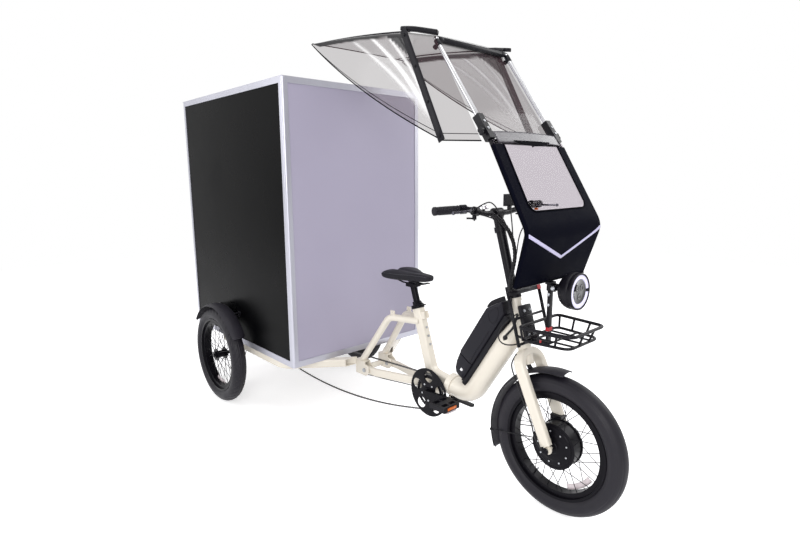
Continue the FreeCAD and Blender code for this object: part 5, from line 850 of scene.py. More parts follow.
# plate outline: two round ends and a waist, in mm along and across
head = polar(chainForm["end"], np.radians([60, 105, 150, 180, 210, 255, 300]))
half, waist = chainForm["pitch"] / 2, chainForm["waist"]
outline = np.concatenate([head, [(half, -waist)], np.array([chainForm["pitch"], 0.0]) - head, [(half, waist)]])
plateX = pinX[:, None] + outline[:, 0] * heading[:, :1] - outline[:, 1] * heading[:, 1:]
plateZ = pinZ[:, None] + outline[:, 0] * heading[:, 1:] + outline[:, 1] * heading[:, :1]
chainParts = []
for plateSide in (-1, 1):
    plateY = chainForm["y"] + (np.where(np.arange(links) % 2 == 0, 3.5, 2.2) * plateSide)[:, None]
    chainParts.append(prisms(np.stack([at(plateX, plateY + thick, plateZ) for thick in (-0.5, 0.5)], 1)))
round8 = polar(chainForm["roller"], turnSteps(8))
rollerX, rollerZ = pinX[:, None] + round8[:, 0], pinZ[:, None] + round8[:, 1]
rollerEnds = (-chainForm["rollerHalf"], chainForm["rollerHalf"])
chainParts.append(prisms(np.stack([at(rollerX, chainForm["y"] + y, rollerZ) for y in rollerEnds], 1)))
addPiece("rollerChain", chainParts, chainSteel, "frame", ["chain"], smooth=False)
print("chain of", links, "links made")


canopyForm = {
    # x, z of the roof line, its width, x, z of the hem, its width, in mm
    "rows": ((724.0, 1872.0, 552.0, 724.0, 1866.0, 552.0), (1040.0, 1848.0, 549.0, 1111.0, 1618.0, 576.0),
             (1334.0, 1811.0, 546.0, 1545.0, 1404.0, 576.0), (1440.0, 1787.2, 446.4, 1670.3, 1398.6, 446.4)),
    "rear": 170, "slope": 36, "side": 34, "roof": 24, "arch": 3.0, "billow": 5.0, "stripMm": 22.0, "patchMm": 120.0,
    # folds: x at the roof edge, share over which each fades in, strength
    "folds": ((1296.0, 0.05, 1.0), (1222.0, 0.10, 0.75), (1120.0, 0.05, 1.0), (985.0, 0.12, 0.7)),
    "foldFoot": (1512.0, 1452.0),
}


def hoodLines(steps):
    # rows joined by a quadratic over the first three and straight from the third to the fourth
    rows = np.array(canopyForm["rows"])
    u = steps[:, None]
    bowed = rows[0] * (u - 1) * (u - 2) / 2 - rows[1] * u * (u - 2) + rows[2] * u * (u - 1) / 2
    straight = rows[2] + (rows[3] - rows[2]) * (u - 2)
    return np.where(u <= 2, bowed, straight)


hoodSteps = np.concatenate([np.linspace(0, 2, canopyForm["rear"]), np.linspace(2, 3, canopyForm["slope"])[1:]])
lines = hoodLines(hoodSteps)
down = np.linspace(1, 0, canopyForm["side"])
over = np.linspace(-1, 1, canopyForm["roof"])[1:-1]
# place round the section: -1..0 on the right wall from hem to roof edge, roof, then the left wall
wallX = lines[:, 0:1] + (lines[:, 3:4] - lines[:, 0:1]) * down
wallZ = lines[:, 1:2] + (lines[:, 4:5] - lines[:, 1:2]) * down
wallY = (lines[:, 2:3] + (lines[:, 5:6] - lines[:, 2:3]) * down) / 2
back = np.clip(1 - hoodSteps / 2, 0, 1)[:, None]
wallHigh = np.hypot(lines[:, 3:4] - lines[:, 0:1], lines[:, 4:5] - lines[:, 1:2])
# tension folds fan from the band's foot to the roof edge; each is a soft ridge that fades at both ends
fold = np.zeros_like(wallX)
foldFoot = canopyForm["foldFoot"]
for topX, share, strength in canopyForm["folds"]:
    topZ = np.interp(topX, lines[:, 0], lines[:, 1])
    way = np.array([foldFoot[0] - topX, foldFoot[1] - topZ])
    reach = np.hypot(*way)
    along = ((wallX - topX) * way[0] + (wallZ - topZ) * way[1]) / reach ** 2
    bow = 26.0 * np.sin(np.pi * np.clip(along, 0, 1))
    off = ((wallX - topX) * way[1] - (wallZ - topZ) * way[0]) / reach + bow
    wide = 5.0 + 9.0 * np.clip(along, 0, 1)
    fade = np.clip(along / share, 0, 1) * np.clip((0.97 - along) / 0.3, 0, 1)
    fold += strength * np.exp(-(off / wide) ** 2) * fade
fold *= np.clip((2.0 - hoodSteps[:, None]) / 0.05, 0, 1)
billow = canopyForm["billow"] * np.sin(np.pi * down) * np.clip(back * 3, 0, 1) + 2.2 * fold
roofX = lines[:, 0:1] + 0 * over
roofZ = lines[:, 1:2] + canopyForm["arch"] * (1 - over ** 2)
roofY = lines[:, 2:3] / 2 * over
x = np.concatenate([wallX, roofX, wallX[:, ::-1]], 1)
y = np.concatenate([-wallY - billow, roofY, (wallY + billow)[:, ::-1]], 1)
z = np.concatenate([wallZ, roofZ, wallZ[:, ::-1]], 1)
hoodPoints = at(x, y, z)
for smoothing in range(2):
    hoodPoints[:, 1:-1] = 0.25 * hoodPoints[:, :-2] + 0.5 * hoodPoints[:, 1:-1] + 0.25 * hoodPoints[:, 2:]
# black tape: a strip along both roof edges that widens to a patch behind the side bands
fromEdge = wallHigh * down
ahead = hoodSteps[:, None]
patchDeep = canopyForm["stripMm"] * np.clip(ahead / 0.2, 0.2,
                                            1) + canopyForm["patchMm"] * np.clip((ahead - 1.62) / 0.38, 0, 1) ** 1.5
patchDeep = np.where(ahead > 2.02, 0.0, patchDeep)
wallPatch = np.clip((patchDeep - fromEdge) / 3.0 + 0.5, 0, 1)
roofStrip = np.clip((9.0 - (1 - np.abs(over)) * lines[:, 2:3] / 2) / 3.0 + 0.5, 0, 1) * (ahead < 2.02)
rearStrip = (lines[:, 0:1] < 724 + 7.0)
patch = np.maximum(np.concatenate([wallPatch, roofStrip, wallPatch[:, ::-1]], 1), 0.85 * rearStrip)
# the fold ridges again, as the mark for the painted white highlight lines on the sheet
paintedCreaseHighlight = np.concatenate([fold, 0 * roofX, fold[:, ::-1]], 1)
hood = addPiece("clearHood", [grid(hoodPoints)], clearVinyl, "canopy", ["canopy_sheet"],
                outward=False, marks={"patch": patch.ravel(), "paintedCreaseHighlight": np.clip(paintedCreaseHighlight, 0, 1).ravel()})


def sheetArea(points):
    # area of a grid of points, as the sum of its triangles
    a, b, c, d = points[:-1, :-1], points[1:, :-1], points[1:, 1:], points[:-1, 1:]
    first, second = (np.linalg.norm(np.cross(p, q), axis=-1) for p, q in ((b - a, c - a), (c - a, d - a)))
    return float((first + second).sum() / 2)


# hem piping, and a second stitched line above it
piping = []
for column in (0, 2, -1, -3):
    piping.append(tube(hoodPoints[2:, column], 2.4 if column in (0, -1) else 1.3, 8))
piping.append(tube(hoodPoints[1, 1:-1], 2.2, 8, (1, 0, 0)))
addPiece("hoodPiping", piping, bindingCloth, "canopy")

tubeFoot, tubeTop = np.array([1704.2, 0.0, 1395.5]), np.array([1437.0, 0.0, 1776.0])
tubeUp = unit(tubeTop - tubeFoot)
tubeOut = np.array([tubeUp[2], 0.0, -tubeUp[0]])


def onScreen(y, up, out):
    # a point on the upper screen: across, up the canopy tubes from their feet, and out from their middle
    y, up, out = (v[..., None] for v in np.broadcast_arrays(y, up, out))
    return toFrame(tubeFoot + up * tubeUp + out * tubeOut + y * np.array([0.0, 1.0, 0.0]))


tubeLong, tubeHalf = float(np.linalg.norm(tubeTop - tubeFoot)), 211.5
v, w = np.meshgrid(np.linspace(36, tubeLong - 4, 30), np.linspace(-1, 1, 40), indexing="ij")
panePoints = onScreen(w * 196.5, v, -9.6 + 4.0 * (1 - w ** 2) * np.sin(np.pi * (v - 36) / (tubeLong - 40)))
edgeMark = np.clip((8.0 - (tubeLong - 4 - v)) / 3.0 + 0.5, 0, 1)
pane = addPiece("upperScreen", [grid(panePoints)], clearVinyl, "canopy", outward=False,
                marks={"patch": edgeMark.ravel(), "paintedCreaseHighlight": np.zeros(edgeMark.size)})
# smoked visor strip between the clamps, bowed out, with a darker lens-shaped pocket at its foot
v, w = np.meshgrid(np.linspace(0, 1, 9), np.linspace(-1, 1, 48), indexing="ij")
visorPoints = onScreen(w * 196.0, -14 + 48 * v, 13.0 + 7.0 * (1 - w ** 2))
addPiece("visorStrip", [grid(visorPoints)], smokedVisor, "frame", wall=1.6, outward=False)
pocket = onScreen(w * 112.0, -8 - (3 + 20 * (1 - w ** 2)) * v, 15.2 + 6.6 * (1 - (w * 112 / 196) ** 2))
addPiece("visorPocket", [grid(pocket)], bindingCloth, "frame", wall=1.2, outward=False,
         uv=np.stack([w * 0.112, v * 0.03], -1).reshape(-1, 2))
# knobs, bolts and corner brackets of the canopy
hardware, bolts = [], []
for sign in (-1, 1):
    for up in (46.0, 76.0):
        spot = onScreen(sign * tubeHalf, up, 14.0)
        bolts.append(lathe(spot, tubeOut,
                           [(-1, 5.2), (2.4, 5.2), (3.4, 4.2), (3.4, 2.6), (1.8, 2.4), (1.8, 0)], 18))
    knob = onScreen(sign * 225.5, 34.0, 0.0)
    hardware.append(lathe(knob, (0, sign, 0), [(16.2, 9.6), (18.4, 9.2), (19.4, 7.0), (19.4, 0)], 36))
addPiece("canopyBolts", bolts, brightSteel, "frame")
addPiece("clampKnobCaps", hardware, mouldedBlack, "frame")
joints = []
for sign in (-1, 1):
    corner = onScreen(sign * tubeHalf, tubeLong, 0.0)
    joints.append(lathe(corner - tubeUp * 0.036, tubeUp,
                        [(0, 8.2), (0, 10.0), (1, 10.8), (27, 10.8), (28, 10.0), (28, 8.2)], 24))
    joints.append(lathe(corner - np.array([0, sign * 0.036, 0]), (0, sign, 0),
                        [(0, 8.2), (0, 10.0), (1, 10.6), (24, 10.6), (25, 9.8), (25, 8.2)], 24))
    grip = onScreen(sign * tubeHalf, tubeLong - 24.0, -9.6)
    joints.append(lathe(grip, -tubeOut, [(0, 6), (3, 6), (4, 9.5), (12, 9.5), (13.5, 8), (13.5, 0)], 24))
addPiece("tubeElbows", joints, mouldedBlack, "canopy")
# flat side bands outside the hood, caps that join them to the tube tops, bows over the roof edges, header sleeve
bandOutline = np.array([(-15, -1.6), (-14.2, -2.2), (14.2, -2.2), (15, -1.6), (15, 1.6), (14.2, 2.2), (-14.2, 2.2),
                        (-15, 1.6)])
capOutline = np.array([(-17, -7), (17, -7), (17, 4), (14, 8), (-14, 8), (-17, 4)])
bands, rivets = [], []
roofEdge = canopyForm["side"]
for sign, column in ((-1, roofEdge), (1, hoodPoints.shape[1] - 1 - roofEdge)):
    top, low = np.array([1331.0, sign * 276.4, 1817.0]), np.array([1546.0, sign * 290.6, 1402.0])
    bands.append(sweepAlong(np.linspace(at(*top), at(*low), 12), bandOutline, (0, 1, 0)))
    cap = smoothRoute([at(1318, sign * 262, 1823), at(1356, sign * 259, 1818), at(1400, sign * 238, 1807),
                       at(1446, sign * 211, 1795)])
    bands.append(sweepAlong(cap, capOutline))
    bands.append(tube(hoodPoints[2:canopyForm["rear"], column] + np.array([0, sign * -0.004, 0.0042]), 3.0, 8))
    for share in (0.05, 0.34, 0.66, 0.96):
        spot = top + (low - top) * share + np.array([0, sign * 2.2, 0])
        rivets.append(lathe(at(*spot), (0, sign, 0),
                            [(-0.5, 6.2), (1.0, 6.2), (2.4, 4.6), (2.9, 2.2), (2.9, 0)], 20))
bands.append(lathe(onScreen(-190.0, tubeLong, 0.0), (0, 1, 0),
                   [(0, 8.2), (0, 9.8), (1, 10.4), (379, 10.4), (380, 9.8), (380, 8.2)], 20))
addPiece("canopyBandSet", bands, mouldedBlack, "canopy", ["canopy_bands"])
addPiece("bandRivets", rivets, blackAnodised, "canopy")
print("canopy made")


fairingForm = {"low": (1823.0, 902.0), "bend": (1883.0, 1100.0), "top": (1712.0, 1400.0),
               "widths": (446.0, 476.0, 441.0), "skirtOut": 10.4, "borderOut": 4.4, "bendRun": 34.0,
               "sideBorder": 52.0, "sill": 66.0, "corner": 34.0, "topCut": 18.0, "hem": 5.0, "hemRound": 8.0}
lowXz, bendXz, topXz = (np.array(fairingForm[k]) for k in ("low", "bend", "top"))
skirtLong, shieldLong = float(np.hypot(*(bendXz - lowXz))), float(np.hypot(*(topXz - bendXz)))
skirtUp, shieldUp = (bendXz - lowXz) / skirtLong, (topXz - bendXz) / shieldLong
skirtFace, shieldFace = np.array([skirtUp[1], -skirtUp[0]]), np.array([shieldUp[1], -shieldUp[0]])


def fairingPoint(w, s, n=0.0):
    # across w and along s from the lower edge: a straight skirt, a round bend and the straight shield border,
    # set n off the cloth; the bend is a quadratic curve between points bendRun either side of the fold
    w, s, n = np.broadcast_arrays(np.asarray(w, float), np.asarray(s, float), np.asarray(n, float))
    run = fairingForm["bendRun"]
    onSkirt = lowXz + skirtFace * fairingForm["skirtOut"] + np.minimum(s, skirtLong - run)[..., None] * skirtUp
    onShield = bendXz + shieldFace * fairingForm["borderOut"] + np.maximum(s - skirtLong, run)[..., None] * shieldUp
    first = lowXz + skirtFace * fairingForm["skirtOut"] + (skirtLong - run) * skirtUp
    last = bendXz + shieldFace * fairingForm["borderOut"] + run * shieldUp
    fold = bendXz + skirtFace * fairingForm["skirtOut"] * 0.8 + shieldUp * 1.0
    t = np.clip((s - (skirtLong - run)) / (2 * run), 0, 1)[..., None]
    onBend = first * (1 - t) ** 2 + fold * 2 * t * (1 - t) + last * t ** 2
    face = units(skirtFace * (1 - t) + shieldFace * t)
    place = np.where(t <= 0, onSkirt, np.where(t >= 1, onShield, onBend)) + face * n[..., None]
    return at(place[..., 0], w, place[..., 1])


def fairingHalf(s):
    # half the width at a distance along the cloth
    return np.interp(s, [0, skirtLong, skirtLong + shieldLong], np.array(fairingForm["widths"]) / 2)


topEnd = skirtLong + shieldLong - fairingForm["topCut"]
sill = skirtLong + fairingForm["sill"]
sideRun, cornerRun, sillRun = 36, 12, 44
# window edge and outer edge walked together: down the right side, round the corner, along the sill, and up the left
turn = np.linspace(0, np.pi / 2, cornerRun + 1)[1:]
cornerW = fairingHalf(sill) - fairingForm["sideBorder"] - fairingForm["corner"] * (1 - np.cos(turn))
cornerS = sill + fairingForm["corner"] * (1 - np.sin(turn))
sideS = np.linspace(topEnd, sill + fairingForm["corner"], sideRun)
innerW = np.concatenate([-(fairingHalf(sideS) - fairingForm["sideBorder"]), -cornerW,
                         np.linspace(-cornerW[-1], cornerW[-1], sillRun + 2)[1:-1],
                         cornerW[::-1], (fairingHalf(sideS) - fairingForm["sideBorder"])[::-1]])
innerS = np.concatenate([sideS, cornerS, np.full(sillRun, sill), cornerS[::-1], sideS[::-1]])
half = cornerRun // 2
outSide = np.linspace(topEnd, skirtLong, sideRun + half + 1)
outBase = np.linspace(-fairingHalf(skirtLong), fairingHalf(skirtLong), 2 * (cornerRun - half) + sillRun)
outerW = np.concatenate([-fairingHalf(outSide[:-1]), outBase, fairingHalf(outSide[:-1])[::-1]])
outerS = np.concatenate([outSide[:-1], np.full(len(outBase), skirtLong), outSide[:-1][::-1]])
mix = np.linspace(0, 1, 12)[:, None]
borderW, borderS = innerW + (outerW - innerW) * mix, innerS + (outerS - innerS) * mix
borderN = -1.5 * np.exp(-mix * 12) + 0 * borderW
border = fairingPoint(borderW, borderS, borderN)
rowsS = np.linspace(0, skirtLong, 40)
share = outBase / fairingHalf(skirtLong)
skirtW, skirtS = fairingHalf(rowsS)[:, None] * share, rowsS[:, None] + 0 * share
belly = np.sin(np.pi * rowsS / skirtLong)[:, None]
hemLine = np.exp(-((rowsS - 16) / 2.0) ** 2)[:, None]
skirtN = 2.5 * np.cos(share * np.pi / 2) * belly - 1.2 * hemLine
skirt = fairingPoint(skirtW, skirtS, skirtN)
edgeS = np.concatenate([rowsS, outSide[::-1][1:]])
# the sides turn back over the rails: a quarter round of hemRound, then straight for hem
bendBack = np.linspace(0, np.pi / 2, 7)
turnW = np.concatenate([fairingForm["hemRound"] * np.sin(bendBack), np.full(5, fairingForm["hemRound"])])
turnN = np.concatenate([-fairingForm["hemRound"] * (1 - np.cos(bendBack)),
                        -fairingForm["hemRound"] - np.linspace(0, fairingForm["hem"], 6)[1:]])
parts = [grid(border), grid(skirt)]
uvs = [np.stack([borderW, borderS], -1), np.stack([skirtW, skirtS], -1)]
area = sheetArea(border) + sheetArea(skirt)
for sign in (-1, 1):
    w = sign * (fairingHalf(edgeS)[:, None] + turnW * 0.35)
    n = turnN[None] + 0 * w
    hem = fairingPoint(w, edgeS[:, None] + 0 * w, n)
    parts.append(grid(hem))
    uvs.append(np.stack([sign * (fairingHalf(edgeS)[:, None] + np.arange(12) * 2.6), edgeS[:, None] + 0 * w], -1))
    area += sheetArea(hem)
clothUv = np.concatenate([some.reshape(-1, 2) for some in uvs]) / 1000.0
cloth = addPiece("fairingCloth", parts, fairingCloth, "frame", ["fairing"], uv=clothUv, weld=True)
print("fairing cloth area", round(area, 3))
# retro-reflective tape in a V across the skirt, from both ends of the bend to the middle
w, v = np.meshgrid(np.linspace(-1, 1, 81), np.linspace(-0.5, 0.5, 5), indexing="ij")
chevron = {"point": 112.0, "rise": 98.0, "wide": 13.0}
reach = fairingHalf(skirtLong - 20) + 1.5
s = skirtLong - chevron["point"] + chevron["rise"] * np.abs(w) + chevron["wide"] * v
relief = 2.5 * np.cos(w * np.pi / 2) * np.sin(np.pi * s / skirtLong)
addPiece("reflectiveChevron", [grid(fairingPoint(w * reach, s, relief + 0.6))], reflectTape, "frame",
         wall=0.4, outward=False)
# bound edge of the window, the lower hem and the side folds
binding = [tube(fairingPoint(innerW, innerS, 0.4), 2.6, 8, (0.8, 0.1, 0.5)),
           tube(fairingPoint(skirtW[0], skirtS[0] + 1.5, 0.2), 2.8, 8, (0, 0, 1))]
for sign in (-1, 1):
    binding.append(tube(fairingPoint(sign * (fairingHalf(edgeS) + 3.2), edgeS, np.full(len(edgeS), -13.0)), 1.8, 6,
                        (0, 1, 0)))
addPiece("fairingBinding", binding, bindingCloth, "frame")
print("fairing made")


headFoot, headUp = np.array([1900.0, 0, 0]), np.array([-0.27564, 0, 0.96126])
headForward = np.array([0.96126, 0, 0.27564])


def headPlace(height, forward, y):
    # a place by the head: up its axis, ahead of it, and across, in mm
    return headFoot + headUp * height + headForward * forward + np.array([0, y, 0.0])


cableForm = {
    "bundle": ((1594.3, -58.0, 1133.4), (1622.1, -44.0, 1115.4), headPlace(1079, 70, -30),
               headPlace(1000, 66, -26), headPlace(940, 34, -26), headPlace(879, 11, -35),
               headPlace(786, -3, -36.9)),
    "frameRun": (headPlace(775, 25, -33), headPlace(745, 14, -47), headPlace(726, 4, -50), (1668, -49.5, 660),
                 (1660, -45, 648), (1650, -34, 632)),
    "grommet": (1661.5, -42.4, 649.5), "bundleRadius": 6.6, "runRadius": 4.6, "ref": (0.25, 1.0, 0.1),
    # spiral wrap, in metres: pitch, half width and thickness of the band
    "wrap": (0.014, 0.0045, 0.0012),
    # piece, its body, its radius, and its route
    "free": (
        ("rightBrakeCable", "steering", 2.4, ((1622, -196, 1157), (1640, -150, 1186), (1628, -92, 1176),
                                              (1636, -60, 1134), (1655, -44, 1092),
                                              headPlace(1040, 66, -30))),
        ("leftBrakeCable", "steering", 2.4, ((1622, 196, 1157), (1646, 150, 1184), (1668, 96, 1150),
                                             (1680, 44, 1096), (1676, 8, 1056),
                                             headPlace(1000, 62, -16), headPlace(960, 50, -24))),
        ("shiftCable", "steering", 2.4, ((1597, -134, 1136), (1620, -112, 1126), (1640, -74, 1112),
                                         (1660, -44, 1076), headPlace(1030, 66, -30))),
        ("displayCable", "steering", 2.4, ((1582, 74, 1160), (1604, 52, 1158), (1634, 8, 1140), (1660, -16, 1092),
                                           headPlace(1046, 66, -27))),
        ("motorLead", "steering", 2.9, ((1722, -50, 600), (1714, -66, 574), (1718, -75, 552), (1734, -76, 518),
                                        (1778, -75, 430), (1816, -75, 358),
                                        (1836, -84, 312), (1860, -86, 284), (1876, -88, 272))),
        ("headLoopCable", "frame", 2.6, (headPlace(778, 25, -33), (1672, -62, 720), (1655, -84, 672),
                                         (1672, -88, 640), (1706, -66, 632), (1718, -34, 636))),
        ("stayCable", "frame", 2.2, ((772, -70, 276), (800, -75, 263), (860, -76, 275), (950, -67, 279),
                                     (1050, -48, 284), (1125, -36, 288), (1196, -34, 290),
                                     (1222, -30, 300))),
        ("rearLoopCable", "frame", 2.2, ((150, -404, 330), (168, -418, 296), (140, -428, 258), (86, -428, 252),
                                         (40, -420, 272), (14, -412, 290))),
    ),
}


def cable(points, radius, sides=10):
    # a route through control points in mm, and its round skin
    route = smoothRoute([at(*p) for p in points])
    return route, tube(route, radius, sides, cableForm["ref"])


bundleRoute, bundleCore = cable(cableForm["bundle"], cableForm["bundleRadius"], 14)
# spiral wrap: a flat band wound round the bundle
wrapPitch, bandHalf, bandThick = cableForm["wrap"]
steps = np.concatenate([[0], np.cumsum(stepLengths(bundleRoute))])
fine = np.linspace(0.004, steps[-1] - 0.004, 520)
middle = np.stack([np.interp(fine, steps, bundleRoute[:, k]) for k in range(3)], -1)
tangent = units(np.gradient(middle, axis=0))
sideways = units(np.cross(cableForm["ref"], tangent))
wind = 2 * np.pi * fine / wrapPitch
outward = np.cos(wind)[:, None] * sideways + np.sin(wind)[:, None] * np.cross(tangent, sideways)
middle = middle + outward * cableForm["bundleRadius"] / 1000
lowEdge, highEdge = middle - tangent * bandHalf, middle + tangent * bandHalf
band = np.stack([lowEdge, lowEdge + outward * bandThick, highEdge + outward * bandThick, highEdge], 1)
addPiece("wrappedBundle", [bundleCore, grid(band, loopCols=True, caps=True)], hoseSkin, "steering",
         ["steering_cables"])
for name, body, radius, points in cableForm["free"]:
    route, skin = cable(points, radius)
    long = float(stepLengths(route).sum())
    housing = addPiece(name, [skin], hoseSkin, body)
    print(name, round(long, 3), "m")
# the run goes into the main tube through a rubber grommet and on inside it
grommet = lathe(at(*cableForm["grommet"]), unit((0.30, -0.90, 0.31)),
                [(-2, 9.5), (1.2, 9.5), (2.6, 8.4), (3.4, 6.4), (3.4, 4.4), (-2, 4.4)], 24)
runTube = cable(cableForm["frameRun"], cableForm["runRadius"], 12)[1]
addPiece("frameCableRun", [runTube, grommet], hoseSkin, "frame", ["frame_cables"])
print("bundle length", round(float(steps[-1]), 3))


bell = at(1576.9, -86.2, 1153.4)
bellProfile = [(-0.4, 17.6), (1.5, 17.7), (5, 17.0), (9, 15.2), (13, 11.8), (16, 7.2), (17.4, 3.2), (17.7, 2.6),
               (18.8, 2.2), (19.2, 0)]
addPiece("bellDome", [lathe(bell, (0, 0, 1), bellProfile, 40)], chrome, "steering")
addPiece("displayGlass", [slab(at(1567.3, 49.8, 1160), at(1568.2, 111.8, 1202))], displayGlass, "steering",
         bevel=0.4, smooth=False)
for side in ("right", "left"):
    name = side + "_pedal"
    low, high = (np.array(c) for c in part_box(name))
    centre = (low + high) / 2
    strips = []
    for face in (low[0], high[0]):
        way = 1 if face > centre[0] else -1
        ends = sorted((face - way * 0.0004, face + way * 0.0022))
        strips.append(slab((ends[0], centre[1] - 0.026, centre[2] - 0.006),
                           (ends[1], centre[1] + 0.026, centre[2] + 0.006)))
    addPiece(side + "PedalReflectors", strips, amberLens, name, bevel=0.5, smooth=False)
    clear = [slab((high[0] - 0.012, centre[1] - 0.030, low[2] - 0.009),
                  (high[0] - 0.002, centre[1] + 0.030, low[2] + 0.0005))]
    addPiece(side + "PedalClearReflector", clear, whiteLens, name, bevel=1.0, smooth=False)
coverAt = at(wheelbase, -30.6, wheelRadius)
coverProfile = [(0, 77), (1.6, 76.4), (4.2, 72), (5.0, 68), (5.2, 56), (8.6, 50), (9.6, 46), (10.2, 30), (10.2, 14)]
addPiece("motorCover", [lathe(coverAt, (0, -1, 0), coverProfile, 72)], blackAnodised, "front_wheel")
motorBolts = []
boltCount, boltCircle = 9, 62.0
for k in range(boltCount):
    a = 2 * math.pi * (k + 0.5) / boltCount
    spot = coverAt + np.array([boltCircle * math.cos(a), -5.0, boltCircle * math.sin(a)]) / 1000
    motorBolts.append(lathe(spot, (0, -1, 0), [(-1, 3.6), (1.4, 3.6), (2.2, 2.8), (2.2, 0)], 12))
addPiece("motorScrews", motorBolts, brightSteel, "front_wheel")
nutProfile = [(0, 13), (1.6, 13), (1.6, 10.5), (8, 10.5), (9.2, 8.6), (9.2, 5), (14, 5), (15, 4), (15, 0)]
nuts = []
for sign in (-1, 1):
    nuts.append(lathe(at(wheelbase, sign * 82.6, wheelRadius), (0, sign, 0), nutProfile, 24))
addPiece("axleNuts", nuts, blackAnodised, "steering")


def spokeReflector(hub, start, end):
    # curved strip clipped over the spokes near the rim
    angle = np.radians(np.linspace(start, end, 24))
    line = hub + 0.162 * np.stack([np.cos(angle), 0 * angle, np.sin(angle)], -1)
    return sweepAlong(line, np.array([(-10, -2), (10, -2), (11, 0), (10, 2), (-10, 2), (-11, 0)]), (0, 1, 0))


addPiece("frontReflector", [spokeReflector(frontHub, -72, -32)], whiteLens, "front_wheel")
for side in ("right", "left"):
    addPiece(side + "RearReflector", [spokeReflector(rearHubs[side], -110, -78)], whiteLens, f"rear_{side}_wheel")
screws = []
for x in (-452.0, 677.0):
    for y in (-408.0, 408.0):
        screws.append(lathe(at(x, y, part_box("box_frame")[1][2] * 1000.0), (0, 0, 1),
                            [(-0.6, 5.5), (0.8, 5.4), (2.0, 4.0), (2.4, 1.8), (2.4, 0)], 16))
addPiece("boxCapScrews", screws, brightSteel, "frame")
seatTop, seatUp = np.array([1124.5, 0, 678.2]), np.array([-0.30902, 0, 0.95106])
collarAt = at(*(seatTop + seatUp * 0.4))
collar = [lathe(collarAt, seatUp, [(-15, 29.0), (-15, 30.6), (-14, 31.2), (0.2, 31.2), (1.4, 30.2), (1.6, 22.6),
                                   (2.4, 22.0), (17, 22.0), (18, 21.0), (18, 16.6)], 48)]
pivot = at(*(seatTop + seatUp * 9.4))
collar.append(lathe(pivot + np.array([0.020, -0.013, 0]), (0, 1, 0),
                    [(0, 5.4), (26, 5.4), (26.4, 5.0), (26.4, 0)], 16))
lever = np.array([(20, -13, 0), (24, -24, 0), (38, -24, 1), (50, -10, 2), (54, 4, 3)])
lever = smoothRoute(pivot + lever / 1000)
collar.append(sweepAlong(lever, np.array([(-4, -1.6), (4, -1.6), (4.6, 0), (4, 1.6), (-4, 1.6), (-4.6, 0)]),
                         (0, 0.05, 1)))
addPiece("seatClamp", collar, blackAnodised, "frame")
# cream lug on the front of the seat tube, bored through
seatAxes = np.array([(0.95106, 0.0, 0.30902), (0.0, 1.0, 0.0), seatUp])
lugAt = at(*(seatTop - seatUp * 52.0 + seatAxes[0] * 32.0))
addPiece("seatLug", [turnedBlock(lugAt + seatAxes[1] * y, seatAxes, (13.0, 4.0, 17.0)) for y in (-0.013, 0.013)]
         + [turnedBlock(lugAt - seatAxes[0] * 0.006, seatAxes, (7.0, 16.0, 14.0))], creamCoat, "frame",
         bevel=2.0)
print("small parts made")


basketForm = {"top": ((1783, -133), (1988, -109), (1988, 109), (1783, 133)), "topZ": 735.0, "topRadius": 6.0,
              "low": ((1788.4, -124), (1970, -100), (1970, 100), (1788.4, 124)), "lowZ": 687.0, "lowRadius": 5.4,
              "topRound": 26.0, "lowRound": 32.0,
              # side of the loops from its corner on, and the shares of it where wires stand
              "wires": ((0, (0.05, 0.38, 0.72)), (1, (0.33, 0.67)), (2, (0.28, 0.62, 0.95)), (3, (0.3, 0.7))),
              "upright": 100.0, "ahead": 51.0}


def roundedLoop(corners, z, radius):
    # straight runs joined by quadratic curves that start radius short of each corner
    corners = np.array(corners, float)
    t = np.linspace(0, 1, 9)[:, None]
    line = []
    for k in range(len(corners)):
        here, before, after = corners[k], corners[k - 1], corners[(k + 1) % len(corners)]
        a = here + unit(before - here) * radius
        b = here + unit(after - here) * radius
        line.append(a * (1 - t) ** 2 + here * 2 * t * (1 - t) + b * t ** 2)
    flat = np.concatenate(line)
    return at(flat[:, 0], flat[:, 1], z)


def closedTube(line, radius):
    # a circle in mm carried round a level loop
    up = np.array([0.0, 0.0, 1.0])
    side = np.cross(up, units(np.roll(line, -1, 0) - np.roll(line, 1, 0)))
    turn = turnSteps(12)[:, None]
    points = line[:, None] + radius / 1000 * (np.cos(turn) * side[:, None] + np.sin(turn) * up)
    return grid(points, loopRows=True, loopCols=True)


def bar(a, b, radius, sides=12):
    # a straight round bar between two places in mm
    a, b = at(*a), at(*b)
    ref = (0, 1, 0.02) if abs(unit(b - a)[1]) < 0.8 else (1, 0, 0.02)
    return tube(np.linspace(a, b, 3), radius, sides, ref)


form = basketForm
loops = np.array(form["top"]), np.array(form["low"])
wires = [closedTube(roundedLoop(form["top"], form["topZ"], form["topRound"]), form["topRadius"]),
         closedTube(roundedLoop(form["low"], form["lowZ"], form["lowRound"]), form["lowRadius"])]
for k, shares in form["wires"]:
    for share in shares:
        a, b = (loop[k] + (loop[(k + 1) % 4] - loop[k]) * share for loop in loops)
        wires.append(bar((*a, form["topZ"]), (*b, form["lowZ"]), 4.2))
for y in (-62.0, 0.0, 62.0):
    wires.append(bar((1788.4, y, form["lowZ"]), (1970, y * 0.9, form["lowZ"]), 3.8))
wires.append(bar((1884, -111, form["lowZ"]), (1884, 111, form["lowZ"]), 3.6))
ahead = form["ahead"]
for y in (-form["upright"], form["upright"]):
    wires.append(bar(headPlace(660, ahead, y), headPlace(868, ahead, y), 6.6, 14))
    wires.append(bar(headPlace(704, ahead, y), (1792, y, form["lowZ"]), 4.6))
for height in (668, 764):
    wires.append(bar(headPlace(height, ahead, -form["upright"]), headPlace(height, ahead, form["upright"]), 5.0))
strap = np.linspace(at(*headPlace(862, 58, -106)), at(*headPlace(862, 58, 76)), 4)
wires.append(sweepAlong(strap, np.array([(-3, -9), (3, -9), (3, 9), (-3, 9)]), unit(headUp)))
